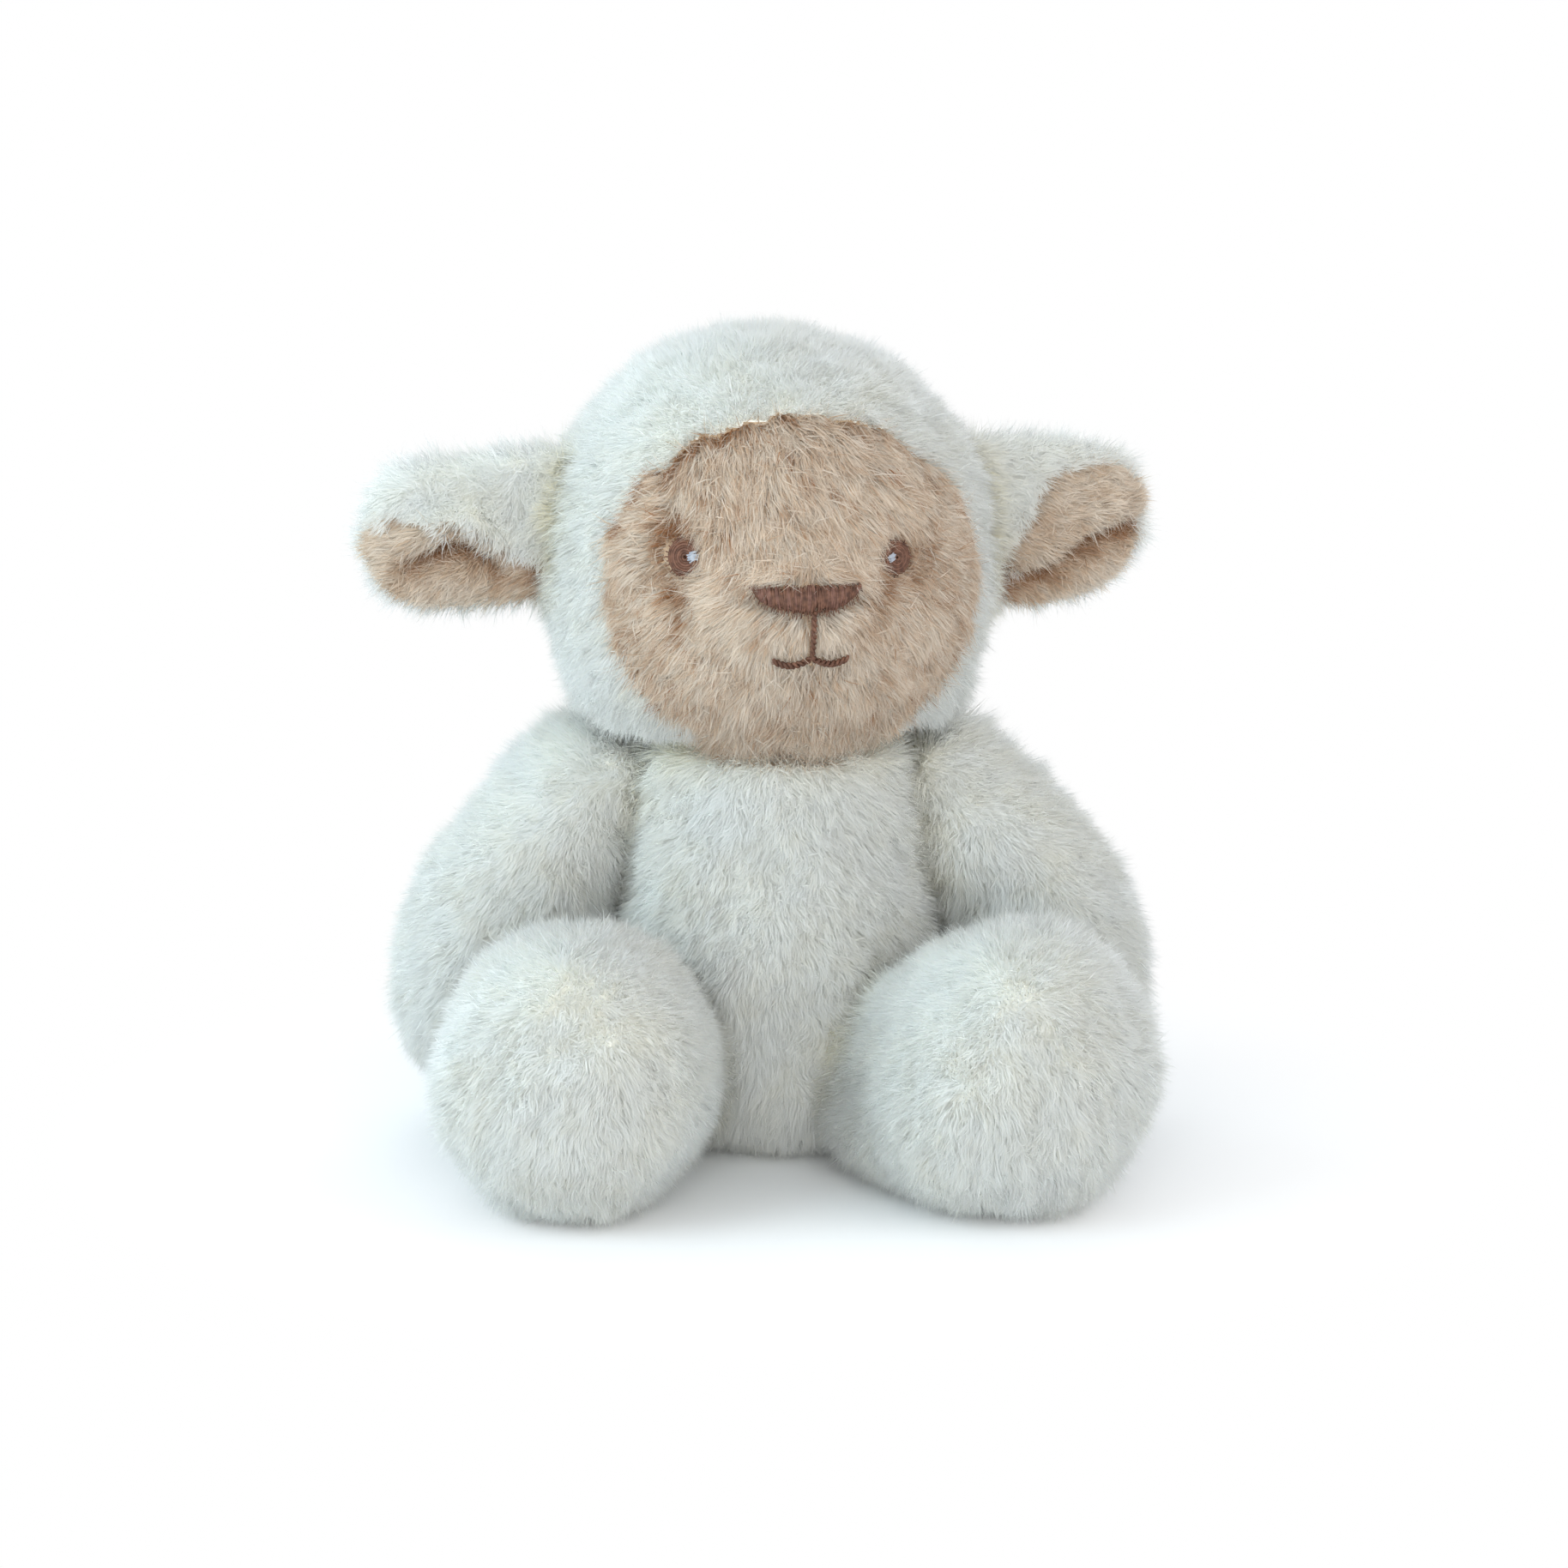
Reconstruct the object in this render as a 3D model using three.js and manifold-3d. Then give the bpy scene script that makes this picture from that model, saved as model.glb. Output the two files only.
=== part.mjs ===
// A seated plush sheep, life size in millimetres: +Z is up, the face looks along -Y and left is -X.
// Every stuffed piece is a pile-fabric skin, split into its sewn panels, round a loose filling.
// Limbs, head, ears and tail meet their carrier in round seats, so that they can swing where the
// real toy bends at its seams.
import * as THREE from 'three';
import { mergeVertices } from 'three/addons/utils/BufferGeometryUtils.js';
import Module from 'manifold-3d';

const wasm = await Module();
wasm.setup();

const sides = ['left', 'right'];
const signOf = (side) => (side === 'left' ? -1 : 1);

// Fabric and clearances
const pileThickness = 5;
const seamGap = 0.3;
const seatGap = 0.65;
const cutterReach = 260;
// Edges that cutting leaves shorter than this are drawn together
const shortestEdge = 0.01;

// Torso: a pear with a flat seat, from the floor to the neck
const torsoHeight = 124;
const torsoHalfWidth = 50;
const torsoFront = 50;
const torsoBack = 46;
const torsoOutlineShares = [
  [0, 0.78], [0.05, 0.93], [0.16, 1], [0.38, 0.99], [0.6, 0.91], [0.78, 0.82], [0.9, 0.73], [1, 0.64],
];
const torsoRingCrowding = 1.2;
const torsoRings = 11;
const torsoFacets = 24;
const torsoHollowRings = 8;
const torsoHollowFacets = 16;
const seatPanelHalfWidth = 34;
const seatPanelHalfDepth = 33;

// Neck seat: the domed top of the torso, on which the head turns
const neckX = -3.5;
const neckTrim = 3;
const neckTop = torsoHeight - neckTrim;
const neckDomeRadius = 96;
const neckThroatRadius = 21;

// Seat bean bag, lying on the seat panel
const beanBagRadius = 26;
const beanBagHeight = 20;
const beanBagY = 8;
const beanBagSink = 2;
const bagFacets = 12;

// Head: measured from its own centre, turned a little towards +X
const headForward = 7;
const headTurn = THREE.MathUtils.degToRad(10);
const headHalfWidth = 63;
const headHalfHeight = 61;
const headSink = 9;
const headCentreZ = neckTop + headHalfHeight - headSink;
const headFront = 56;
const headBack = 53;
const headCrownPower = 2;
const headCheekPower = 3;
const headRings = 15;
const headFacets = 28;
const headHollowRings = 9;
const headHollowFacets = 18;
const muzzleDepth = 9;
const muzzleHalfWidth = 25;
const muzzleHalfHeight = 21;
const muzzleDrop = 12;

// Face: the tan oval in the hood, and the forehead panel between the two cheeks
const faceDrop = 5;
const faceHalfWidth = 52;
const faceHalfHeight = 45;
const foreheadHalfWidth = 25;
const foreheadNoseHalfWidth = 18;
const foreheadBottom = 12.5;
const faceSegments = 18;
const stitchSegments = 6;

// Embroidery, which stands on the pile
const threadHeight = 1.4;
const eyeHalfWidth = 4.8;
const eyeHalfHeight = 5.8;
const eyeSpreads = { left: 31, right: 27 };
const eyeHeight = 3;
const noseHalfWidth = 14.5;
const noseHeight = 8;
const noseTop = -3;
const philtrumLength = 11.5;
const mouthHalfWidth = 10;
const mouthSag = 3.2;
const stitchWidth = 1.8;

// Ears: flat leaves that stand out from the sides of the head, hinged at their roots
const earSink = 1.5;
const earRise = 7;
const earRootX = headHalfWidth - earSink;
const earMiddleZ = headCentreZ + earRise;
const earRootRadius = 5.5;
const earRootHalfHeight = 19;
const earLengths = { left: 56.5, right: 50.5 };
const earHalfHeight = 23;
const earHalfThickness = 8.5;
const earHeightShares = [[0.08, 0.84], [0.3, 1], [0.55, 1], [0.75, 0.9], [0.9, 0.62], [1, 0]];
const earThicknessShares = [[0.08, 0.5], [0.3, 0.82], [0.55, 1], [0.75, 0.95], [0.9, 0.62], [1, 0]];
const earDroop = THREE.MathUtils.degToRad(6);
const earSeamTilt = THREE.MathUtils.degToRad(38);
const earSeamFall = THREE.MathUtils.degToRad(14);
const earSeamForward = 2;
const earCupDepth = 5;
const earRings = 8;
const earFacets = 16;
const earCupFacets = 10;

// Arms: they hang from the shoulders and swell towards the paw
const shoulderInset = 4;
const shoulderDrop = 22.5;
const shoulderX = torsoHalfWidth - shoulderInset;
const shoulderY = -2;
const shoulderZ = torsoHeight - shoulderDrop;
const shoulderRadius = 15.5;
const armSpreads = { left: 38, right: 34.5 };
const armForwards = { left: 5, right: 3 };
const armDrops = { left: 89.5, right: 87.5 };
// Outwards, forwards and downwards from the shoulder; the right shoulder slopes more
const armPathShares = {
  left: [[0, 0, 0], [0.25, 0, 0.05], [0.64, 0.2, 0.3], [0.93, 0.8, 0.6], [1, 1, 1]],
  right: [[0, 0, 0], [0.25, 0, 0.1], [0.67, 0.2, 0.32], [0.94, 0.8, 0.6], [1, 1, 1]],
};
const armRadii = { left: 29, right: 28 };
const armRadiusShares = [
  [0, 0.54], [0.12, 0.76], [0.3, 0.88], [0.52, 0.97], [0.7, 1], [0.82, 0.9], [0.92, 0.64], [1, 0],
];
const armThroatRadius = 9;

// Legs: they point forwards along the floor and swell into round feet
const hipX = 38;
const hipSink = 12;
const hipY = hipSink - torsoFront;
const hipZ = 31;
const hipRadius = 24;
const legLengths = { left: 53, right: 52.5 };
const legSplays = { left: THREE.MathUtils.degToRad(18.8), right: THREE.MathUtils.degToRad(31) };
const footRadius = 40;
const footRoundLength = 38;
const footFlat = 0.5;
const legThroatRadius = 13;
const legRadiusShares = [[0, 0.54], [0.2, 0.66], [0.4, 0.88], [0.6, 1], [0.78, 0.92], [0.92, 0.6], [1, 0]];
// Rings stand closer together towards a limb's round tip
const tipCrowding = 1.5;
const frameSteps = 60;
const limbRings = 10;
const limbFacets = 18;
const limbHollowRings = 8;
const limbHollowFacets = 12;
const footBagRadius = 19;
const footBagSink = 3;

// Tail: a short stub low on the back
const tailSink = 2;
const tailRootY = torsoBack - tailSink;
const tailRootZ = 34;
const tailRootRadius = 8;
const tailLength = 36;
const tailRadius = 12;
const tailRadiusShares = [[0, 0.5], [0.25, 0.62], [0.6, 1], [0.85, 0.72], [1, 0]];
const tailFall = THREE.MathUtils.degToRad(25);
const tailPile = 3.5;
const tailThroatRadius = 3.5;
const tailRings = 6;
const tailFacets = 12;

// Facets round the ball seats, and round the bars and small balls that no other piece turns in
const seatFacets = 20;
const barFacets = 12;

// Materials
function fabric(color, roughness) {
  return new THREE.MeshStandardMaterial({ color, roughness, metalness: 0 });
}
const whitePile = () => fabric(0xe8eaea, 0.95);
const tanPile = () => fabric(0xd6c0a4, 0.95);
const brownThread = () => fabric(0x5f473c, 0.7);
const polyesterFilling = () => fabric(0xf2f2ee, 1);
const pelletCloth = () => fabric(0xcfc8b8, 0.9);

// Solids: from geometry to manifold and back
function toSolid(geometry) {
  const bare = geometry.clone();
  bare.deleteAttribute('normal');
  bare.deleteAttribute('uv');
  const merged = mergeVertices(bare, 1e-4);
  return new wasm.Manifold(new wasm.Mesh({
    numProp: 3,
    vertProperties: new Float32Array(merged.attributes.position.array),
    triVerts: new Uint32Array(merged.index.array),
  }));
}

function toMesh(name, solid, material) {
  const { vertProperties, triVerts } = solid.simplify(shortestEdge).getMesh();
  const geometry = new THREE.BufferGeometry();
  geometry.setAttribute('position', new THREE.BufferAttribute(vertProperties, 3));
  geometry.setIndex(new THREE.BufferAttribute(triVerts, 1));
  geometry.computeVertexNormals();
  const mesh = new THREE.Mesh(geometry, material);
  mesh.name = name;
  return mesh;
}

// A value read off a smooth line through [place, value] shares
function shareLine(shares) {
  const line = new THREE.SplineCurve(shares.map(([place, value]) => new THREE.Vector2(place, value)));
  const points = line.getPoints(shares.length * 8);
  return (place) => {
    const next = points.findIndex((point) => point.x >= place);
    if (next < 1) return points[Math.max(next, 0)].y;
    const before = points[next - 1];
    const after = points[next];
    return THREE.MathUtils.mapLinear(place, before.x, after.x, before.y, after.y);
  };
}

// A closed loft through rings of equal count, closed at both ends by a point
function loft(start, rings, end) {
  const around = rings[0].length;
  const points = [start, ...rings.flat(), end];
  const last = points.length - 1;
  const faces = [];
  for (let i = 0; i < around; i += 1) {
    const next = (i + 1) % around;
    faces.push(0, 1 + next, 1 + i);
    for (let r = 0; r < rings.length - 1; r += 1) {
      const low = 1 + r * around;
      const high = low + around;
      faces.push(low + i, low + next, high + next, low + i, high + next, high + i);
    }
    const top = last - around;
    faces.push(last, top + i, top + next);
  }
  const geometry = new THREE.BufferGeometry().setFromPoints(points);
  geometry.setIndex(faces);
  return toSolid(geometry);
}

// A level ring with its own reach to the sides, the front and the back
function levelRing(z, halfWidth, front, back, facets) {
  const ring = [];
  for (let i = 0; i < facets; i += 1) {
    const angle = (2 * Math.PI * i) / facets;
    const reach = Math.sin(angle) < 0 ? front : back;
    ring.push(new THREE.Vector3(halfWidth * Math.cos(angle), reach * Math.sin(angle), z));
  }
  return ring;
}

// A round loft along a curve, with its radius read off shares; inset shrinks it all round
function limbForm(curve, radius, radiusShares, ringCount, facets, inset) {
  const shareAt = shareLine(radiusShares);
  const insetShare = inset / curve.getLength();
  const frames = curve.computeFrenetFrames(frameSteps);
  const rings = [];
  for (let r = 0; r < ringCount; r += 1) {
    const step = Math.round(frameSteps * (1 - (1 - r / ringCount) ** tipCrowding));
    const place = step / frameSteps;
    const centre = curve.getPointAt(place * (1 - insetShare));
    const reach = radius * shareAt(place) - inset;
    const ring = [];
    for (let i = 0; i < facets; i += 1) {
      const angle = (2 * Math.PI * i) / facets;
      ring.push(centre.clone()
        .addScaledVector(frames.normals[step], reach * Math.cos(angle))
        .addScaledVector(frames.binormals[step], reach * Math.sin(angle)));
    }
    rings.push(ring);
  }
  return loft(curve.getPointAt(0), rings, curve.getPointAt(1 - insetShare));
}

function ball(radius, centre, facets) {
  const sphere = new THREE.SphereGeometry(radius, facets, facets / 2);
  return toSolid(sphere).translate(centre.x, centre.y, centre.z);
}

// A round bar from a point along a direction
function bar(radius, start, direction, length) {
  const geometry = new THREE.CylinderGeometry(radius, radius, length, barFacets);
  geometry.translate(0, length / 2, 0);
  const turn = new THREE.Quaternion().setFromUnitVectors(
    new THREE.Vector3(0, 1, 0),
    direction.clone().normalize(),
  );
  geometry.applyQuaternion(turn);
  geometry.translate(start.x, start.y, start.z);
  return toSolid(geometry);
}

// Everything on one side of a plane square to an axis, with half of the gap left free
function halfSpace(axis, place, direction, gap) {
  const size = 2 * cutterReach;
  const geometry = new THREE.BoxGeometry(size, size, size);
  const middle = new THREE.Vector3();
  middle[axis] = place + direction * (cutterReach + gap / 2);
  geometry.translate(middle.x, middle.y, middle.z);
  return toSolid(geometry);
}

// A shape drawn on the XZ plane and pushed forwards from it
function forwardPrism(shape, curveSegments) {
  const geometry = new THREE.ExtrudeGeometry(shape, { depth: cutterReach, bevelEnabled: false, curveSegments });
  geometry.rotateX(Math.PI / 2);
  return toSolid(geometry);
}

// Torso
function torsoForm(inset, ringCount, facets) {
  const shareAt = shareLine(torsoOutlineShares);
  const rings = [];
  for (let r = 0; r <= ringCount; r += 1) {
    const place = (r / ringCount) ** torsoRingCrowding;
    const share = shareAt(place);
    const z = THREE.MathUtils.lerp(inset, torsoHeight + pileThickness, place);
    rings.push(levelRing(
      z,
      torsoHalfWidth * share - inset,
      torsoFront * share - inset,
      torsoBack * share - inset,
      facets,
    ));
  }
  const bottom = new THREE.Vector3(0, 0, inset);
  const top = new THREE.Vector3(0, 0, torsoHeight + pileThickness);
  return loft(bottom, rings, top);
}

const torsoOutside = (inset) => torsoForm(inset, torsoRings, torsoFacets);
const torsoInside = (inset) => torsoForm(inset, torsoHollowRings, torsoHollowFacets);

// Everything under the neck's dome, raised by a gap: the same round seat for torso and head
function belowNeck(gap) {
  const profile = [new THREE.Vector2(0, -cutterReach), new THREE.Vector2(cutterReach, -cutterReach)];
  const edge = neckDomeRadius * Math.sin(Math.PI / 3);
  profile.push(new THREE.Vector2(cutterReach, neckTop + gap - neckDomeRadius / 2));
  const steps = 6;
  for (let i = 0; i < steps; i += 1) {
    const reach = edge * (1 - i / steps);
    const drop = neckDomeRadius - Math.sqrt(neckDomeRadius ** 2 - reach ** 2);
    profile.push(new THREE.Vector2(reach, neckTop + gap - drop));
  }
  profile.push(new THREE.Vector2(0, neckTop + gap));
  const geometry = new THREE.LatheGeometry(profile, seatFacets);
  geometry.rotateX(Math.PI / 2);
  return toSolid(geometry);
}

const shoulderAt = (side) => new THREE.Vector3(signOf(side) * shoulderX, shoulderY, shoulderZ);
const hipAt = (side) => new THREE.Vector3(signOf(side) * hipX, hipY, hipZ);
const tailRoot = new THREE.Vector3(0, tailRootY, tailRootZ);

function cutSockets(solid) {
  let cut = solid;
  for (const side of sides) {
    cut = cut.subtract(ball(shoulderRadius + seatGap, shoulderAt(side), seatFacets));
    cut = cut.subtract(ball(hipRadius + seatGap, hipAt(side), seatFacets));
  }
  return cut.subtract(ball(tailRootRadius + seatGap, tailRoot, barFacets));
}

function seatPanelCutter(gap) {
  const geometry = new THREE.CylinderGeometry(1, 1, 2 * pileThickness + gap, torsoFacets);
  geometry.rotateX(Math.PI / 2);
  geometry.scale(seatPanelHalfWidth + gap, seatPanelHalfDepth + gap, 1);
  return toSolid(geometry);
}

function beanBag(gap) {
  const sphere = new THREE.SphereGeometry(1, bagFacets, bagFacets / 2);
  sphere.scale(beanBagRadius + gap, beanBagRadius + gap, beanBagHeight / 2 + gap);
  sphere.translate(0, beanBagY, pileThickness + beanBagHeight / 2 - beanBagSink);
  return toSolid(sphere);
}

function torsoMeshes() {
  const outer = cutSockets(torsoOutside(0).intersect(belowNeck(0).translate(neckX, 0, 0)));
  const skin = outer.subtract(torsoInside(pileThickness));
  const walls = skin.subtract(seatPanelCutter(seamGap));
  const back = walls.intersect(halfSpace('y', 0, 1, seamGap));
  const filling = cutSockets(torsoInside(pileThickness + seamGap).intersect(belowNeck(0).translate(neckX, 0, 0)));
  return [
    toMesh('tummy_panel', walls.intersect(halfSpace('y', 0, -1, seamGap)), whitePile()),
    toMesh('back_left_panel', back.intersect(halfSpace('x', 0, signOf('left'), seamGap)), whitePile()),
    toMesh('back_right_panel', back.intersect(halfSpace('x', 0, signOf('right'), seamGap)), whitePile()),
    toMesh('seat_panel', skin.intersect(seatPanelCutter(0)), whitePile()),
    toMesh('body_filling', filling.subtract(beanBag(seamGap)), polyesterFilling()),
    toMesh('seat_bean_bag', beanBag(0).intersect(torsoInside(pileThickness + seamGap)), pelletCloth()),
  ];
}

// Head, in a frame whose Z axis is the neck's
function headForm(inset, ringCount, facets) {
  const halfHeight = headHalfHeight - inset;
  const rings = [];
  for (let r = 1; r < ringCount; r += 1) {
    const rise = -Math.cos((Math.PI * r) / ringCount);
    const power = rise < 0 ? headCheekPower : headCrownPower;
    const spread = (1 - Math.abs(rise) ** power) ** (1 / power);
    const ring = levelRing(
      headCentreZ + rise * halfHeight,
      (headHalfWidth - inset) * spread,
      (headFront - inset) * spread,
      (headBack - inset) * spread,
      facets,
    );
    rings.push(ring.map(pushMuzzle));
  }
  const chin = new THREE.Vector3(0, -headForward, headCentreZ - halfHeight);
  const crown = new THREE.Vector3(0, -headForward, headCentreZ + halfHeight);
  return loft(chin, rings, crown);
}

const headOutside = (inset) => headForm(inset, headRings, headFacets);
const headInside = (inset) => headForm(inset, headHollowRings, headHollowFacets);

// The muzzle swells forwards round the nose, and the whole head sits a little forwards of the neck
function pushMuzzle(point) {
  const across = point.x / muzzleHalfWidth;
  const up = (point.z - headCentreZ + muzzleDrop) / muzzleHalfHeight;
  const swell = point.y < 0 ? muzzleDepth * Math.exp(-(across ** 2) - up ** 2) : 0;
  return new THREE.Vector3(point.x, point.y - headForward - swell, point.z);
}

function faceOval(gap) {
  const shape = new THREE.Shape();
  shape.absellipse(0, headCentreZ - faceDrop, faceHalfWidth + gap, faceHalfHeight + gap, 0, 2 * Math.PI);
  return forwardPrism(shape, faceSegments);
}

function foreheadOutline(gap) {
  const top = headCentreZ - faceDrop + faceHalfHeight + gap;
  const bottom = headCentreZ - foreheadBottom - gap;
  const shape = new THREE.Shape();
  shape.moveTo(-foreheadHalfWidth - gap, top);
  shape.lineTo(-foreheadHalfWidth - gap, headCentreZ + eyeHeight);
  shape.quadraticCurveTo(-foreheadHalfWidth - gap, bottom, -foreheadNoseHalfWidth, bottom);
  shape.lineTo(foreheadNoseHalfWidth, bottom);
  shape.quadraticCurveTo(foreheadHalfWidth + gap, bottom, foreheadHalfWidth + gap, headCentreZ + eyeHeight);
  shape.lineTo(foreheadHalfWidth + gap, top);
  return forwardPrism(shape, stitchSegments);
}

// A bit of the thin layer that stands on the pile, where the embroidery lies
function stitchedOn(shape) {
  const layer = headOutside(-seamGap - threadHeight).subtract(headOutside(-seamGap));
  return forwardPrism(shape, stitchSegments).intersect(layer);
}

function eyeShape(side) {
  const shape = new THREE.Shape();
  shape.absellipse(signOf(side) * eyeSpreads[side], headCentreZ + eyeHeight, eyeHalfWidth, eyeHalfHeight, 0, 2 * Math.PI);
  return shape;
}

// Flat along the top, where the fur of the forehead falls over it, and round below
function noseShape() {
  const top = headCentreZ + noseTop;
  const shape = new THREE.Shape();
  shape.moveTo(-noseHalfWidth, top);
  shape.bezierCurveTo(-noseHalfWidth, top - noseHeight, -noseHalfWidth / 2, top - noseHeight, 0, top - noseHeight);
  shape.bezierCurveTo(noseHalfWidth / 2, top - noseHeight, noseHalfWidth, top - noseHeight, noseHalfWidth, top);
  return shape;
}

// One line of thread: down from the nose and out to both corners of the mouth
function mouthShape() {
  const half = stitchWidth / 2;
  const top = headCentreZ + noseTop - noseHeight - seamGap;
  const fork = top - philtrumLength;
  const low = fork - mouthSag;
  const shape = new THREE.Shape();
  shape.moveTo(-half, top);
  shape.lineTo(-half, fork);
  shape.quadraticCurveTo(-mouthHalfWidth / 2, low + half, -mouthHalfWidth, fork + half);
  shape.lineTo(-mouthHalfWidth, fork - half);
  shape.quadraticCurveTo(-mouthHalfWidth / 2, low - half, 0, fork - stitchWidth);
  shape.quadraticCurveTo(mouthHalfWidth / 2, low - half, mouthHalfWidth, fork - half);
  shape.lineTo(mouthHalfWidth, fork + half);
  shape.quadraticCurveTo(mouthHalfWidth / 2, low + half, half, fork);
  shape.lineTo(half, top);
  return shape;
}

function earAxis(side) {
  return new THREE.Vector3(signOf(side) * earRootX, -headForward, earMiddleZ);
}

function earRoll(side, gap) {
  const start = earAxis(side);
  start.z -= earRootHalfHeight + gap;
  return bar(earRootRadius + gap, start, new THREE.Vector3(0, 0, 1), 2 * (earRootHalfHeight + gap));
}

function headMeshes() {
  let outer = headOutside(0).subtract(belowNeck(seatGap));
  let filling = headInside(pileThickness + seamGap);
  for (const side of sides) {
    outer = outer.subtract(earRoll(side, seatGap));
    filling = filling.subtract(earRoll(side, seatGap));
  }
  const down = new THREE.Vector3(0, 0, -1);
  const middle = new THREE.Vector3(0, 0, headCentreZ);
  const throat = bar(neckThroatRadius, middle, down, headHalfHeight);
  const skin = outer.subtract(headInside(pileThickness)).subtract(throat);
  const hood = skin.subtract(faceOval(seamGap));
  const face = skin.intersect(faceOval(0));
  const cheeks = face.subtract(foreheadOutline(seamGap));
  const plug = bar(neckThroatRadius - seamGap, middle, down, headHalfHeight).intersect(outer);
  const meshes = [
    toMesh('forehead_panel', face.intersect(foreheadOutline(0)), tanPile()),
    toMesh('head_filling', filling.add(plug).subtract(belowNeck(seatGap)), polyesterFilling()),
    toMesh('nose_stitching', stitchedOn(noseShape()), brownThread()),
    toMesh('mouth_stitching', stitchedOn(mouthShape()), brownThread()),
  ];
  for (const side of sides) {
    const half = halfSpace('x', 0, signOf(side), seamGap);
    meshes.push(toMesh(`hood_${side}_panel`, hood.intersect(half), whitePile()));
    meshes.push(toMesh(`cheek_${side}_panel`, cheeks.intersect(half), tanPile()));
    meshes.push(toMesh(`eye_${side}_stitching`, stitchedOn(eyeShape(side)), brownThread()));
  }
  return meshes;
}

// Ear: one leaf along +X from its root, split along a tilted seam into back and lining
function earLeaf(length) {
  const heightAt = shareLine(earHeightShares);
  const thicknessAt = shareLine(earThicknessShares);
  const firstShare = earHeightShares[0][0];
  const rings = [];
  for (let r = 0; r < earRings; r += 1) {
    const place = THREE.MathUtils.lerp(firstShare, 1, r / earRings);
    const ring = [];
    for (let i = 0; i < earFacets; i += 1) {
      const angle = (2 * Math.PI * i) / earFacets;
      ring.push(new THREE.Vector3(
        place * length,
        earHalfThickness * thicknessAt(place) * Math.cos(angle),
        earHalfHeight * heightAt(place) * Math.sin(angle),
      ));
    }
    rings.push(ring);
  }
  return loft(new THREE.Vector3(firstShare * length, 0, 0), rings, new THREE.Vector3(length, 0, 0));
}

function earCup(length) {
  const sphere = new THREE.SphereGeometry(1, earCupFacets, earCupFacets / 2);
  sphere.scale(length / 3, earCupDepth, earHalfHeight / 2);
  sphere.translate(length * 0.55, -earHalfThickness, -earHalfHeight / 5);
  return toSolid(sphere);
}

function earMeshes(side) {
  const length = earLengths[side];
  const toDegrees = THREE.MathUtils.radToDeg(1);
  const seam = (gap) => {
    const geometry = new THREE.BoxGeometry(2 * cutterReach, 2 * cutterReach, 2 * cutterReach);
    geometry.translate(0, 0, -cutterReach + gap);
    geometry.rotateX(-Math.PI / 2 + earSeamTilt);
    geometry.rotateY(-earSeamFall);
    geometry.translate(length / 2, earSeamForward, 0);
    return toSolid(geometry);
  };
  const place = (solid) => {
    const at = earAxis(side);
    const facing = side === 'left' ? solid.mirror([1, 0, 0]) : solid;
    return facing.rotate([0, signOf(side) * earDroop * toDegrees, 0]).translate(at.x, at.y, at.z);
  };
  const leaf = earLeaf(length);
  const aside = headOutside(-seatGap);
  const back = place(leaf.subtract(seam(seamGap))).subtract(aside).add(earRoll(side, 0));
  const lining = place(leaf.intersect(seam(0)).subtract(earCup(length))).subtract(aside).subtract(earRoll(side, seamGap));
  return [
    toMesh(`ear_${side}_back`, back, whitePile()),
    toMesh(`ear_${side}_lining`, lining, tanPile()),
  ];
}

// Skin and filling of a stuffed limb: the throat leaves the skin open at its root
function stuffedLimb(outside, inside, root, seatRadius, throatRadius, throatDirection) {
  const body = torsoOutside(-seatGap);
  const outer = outside(0).subtract(body).add(ball(seatRadius, root, seatFacets));
  const stuffed = (inset) => inside(inset).subtract(body).add(ball(seatRadius - inset, root, barFacets));
  const throat = (gap) => bar(throatRadius - gap, root, throatDirection, 2 * seatRadius);
  const plug = throat(seamGap).intersect(ball(seatRadius, root, seatFacets));
  return {
    skin: outer.subtract(stuffed(pileThickness)).subtract(throat(0)),
    filling: stuffed(pileThickness + seamGap).add(plug),
  };
}

function armMeshes(side) {
  const root = shoulderAt(side);
  const curve = new THREE.CatmullRomCurve3(armPathShares[side].map(([out, forward, down]) => new THREE.Vector3(
    root.x + signOf(side) * out * armSpreads[side],
    root.y - forward * armForwards[side],
    root.z - down * armDrops[side],
  )));
  const outside = (inset) => limbForm(curve, armRadii[side], armRadiusShares, limbRings, limbFacets, inset);
  const inside = (inset) => limbForm(curve, armRadii[side], armRadiusShares, limbHollowRings, limbHollowFacets, inset);
  const inwards = new THREE.Vector3(-signOf(side), 0, 0);
  const arm = stuffedLimb(outside, inside, root, shoulderRadius, armThroatRadius, inwards);
  const panel = (direction) => arm.skin.intersect(halfSpace('y', shoulderY, direction, seamGap));
  return [
    toMesh(`arm_${side}_front_panel`, panel(-1), whitePile()),
    toMesh(`arm_${side}_back_panel`, panel(1), whitePile()),
    toMesh(`arm_${side}_filling`, arm.filling, polyesterFilling()),
  ];
}

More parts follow.
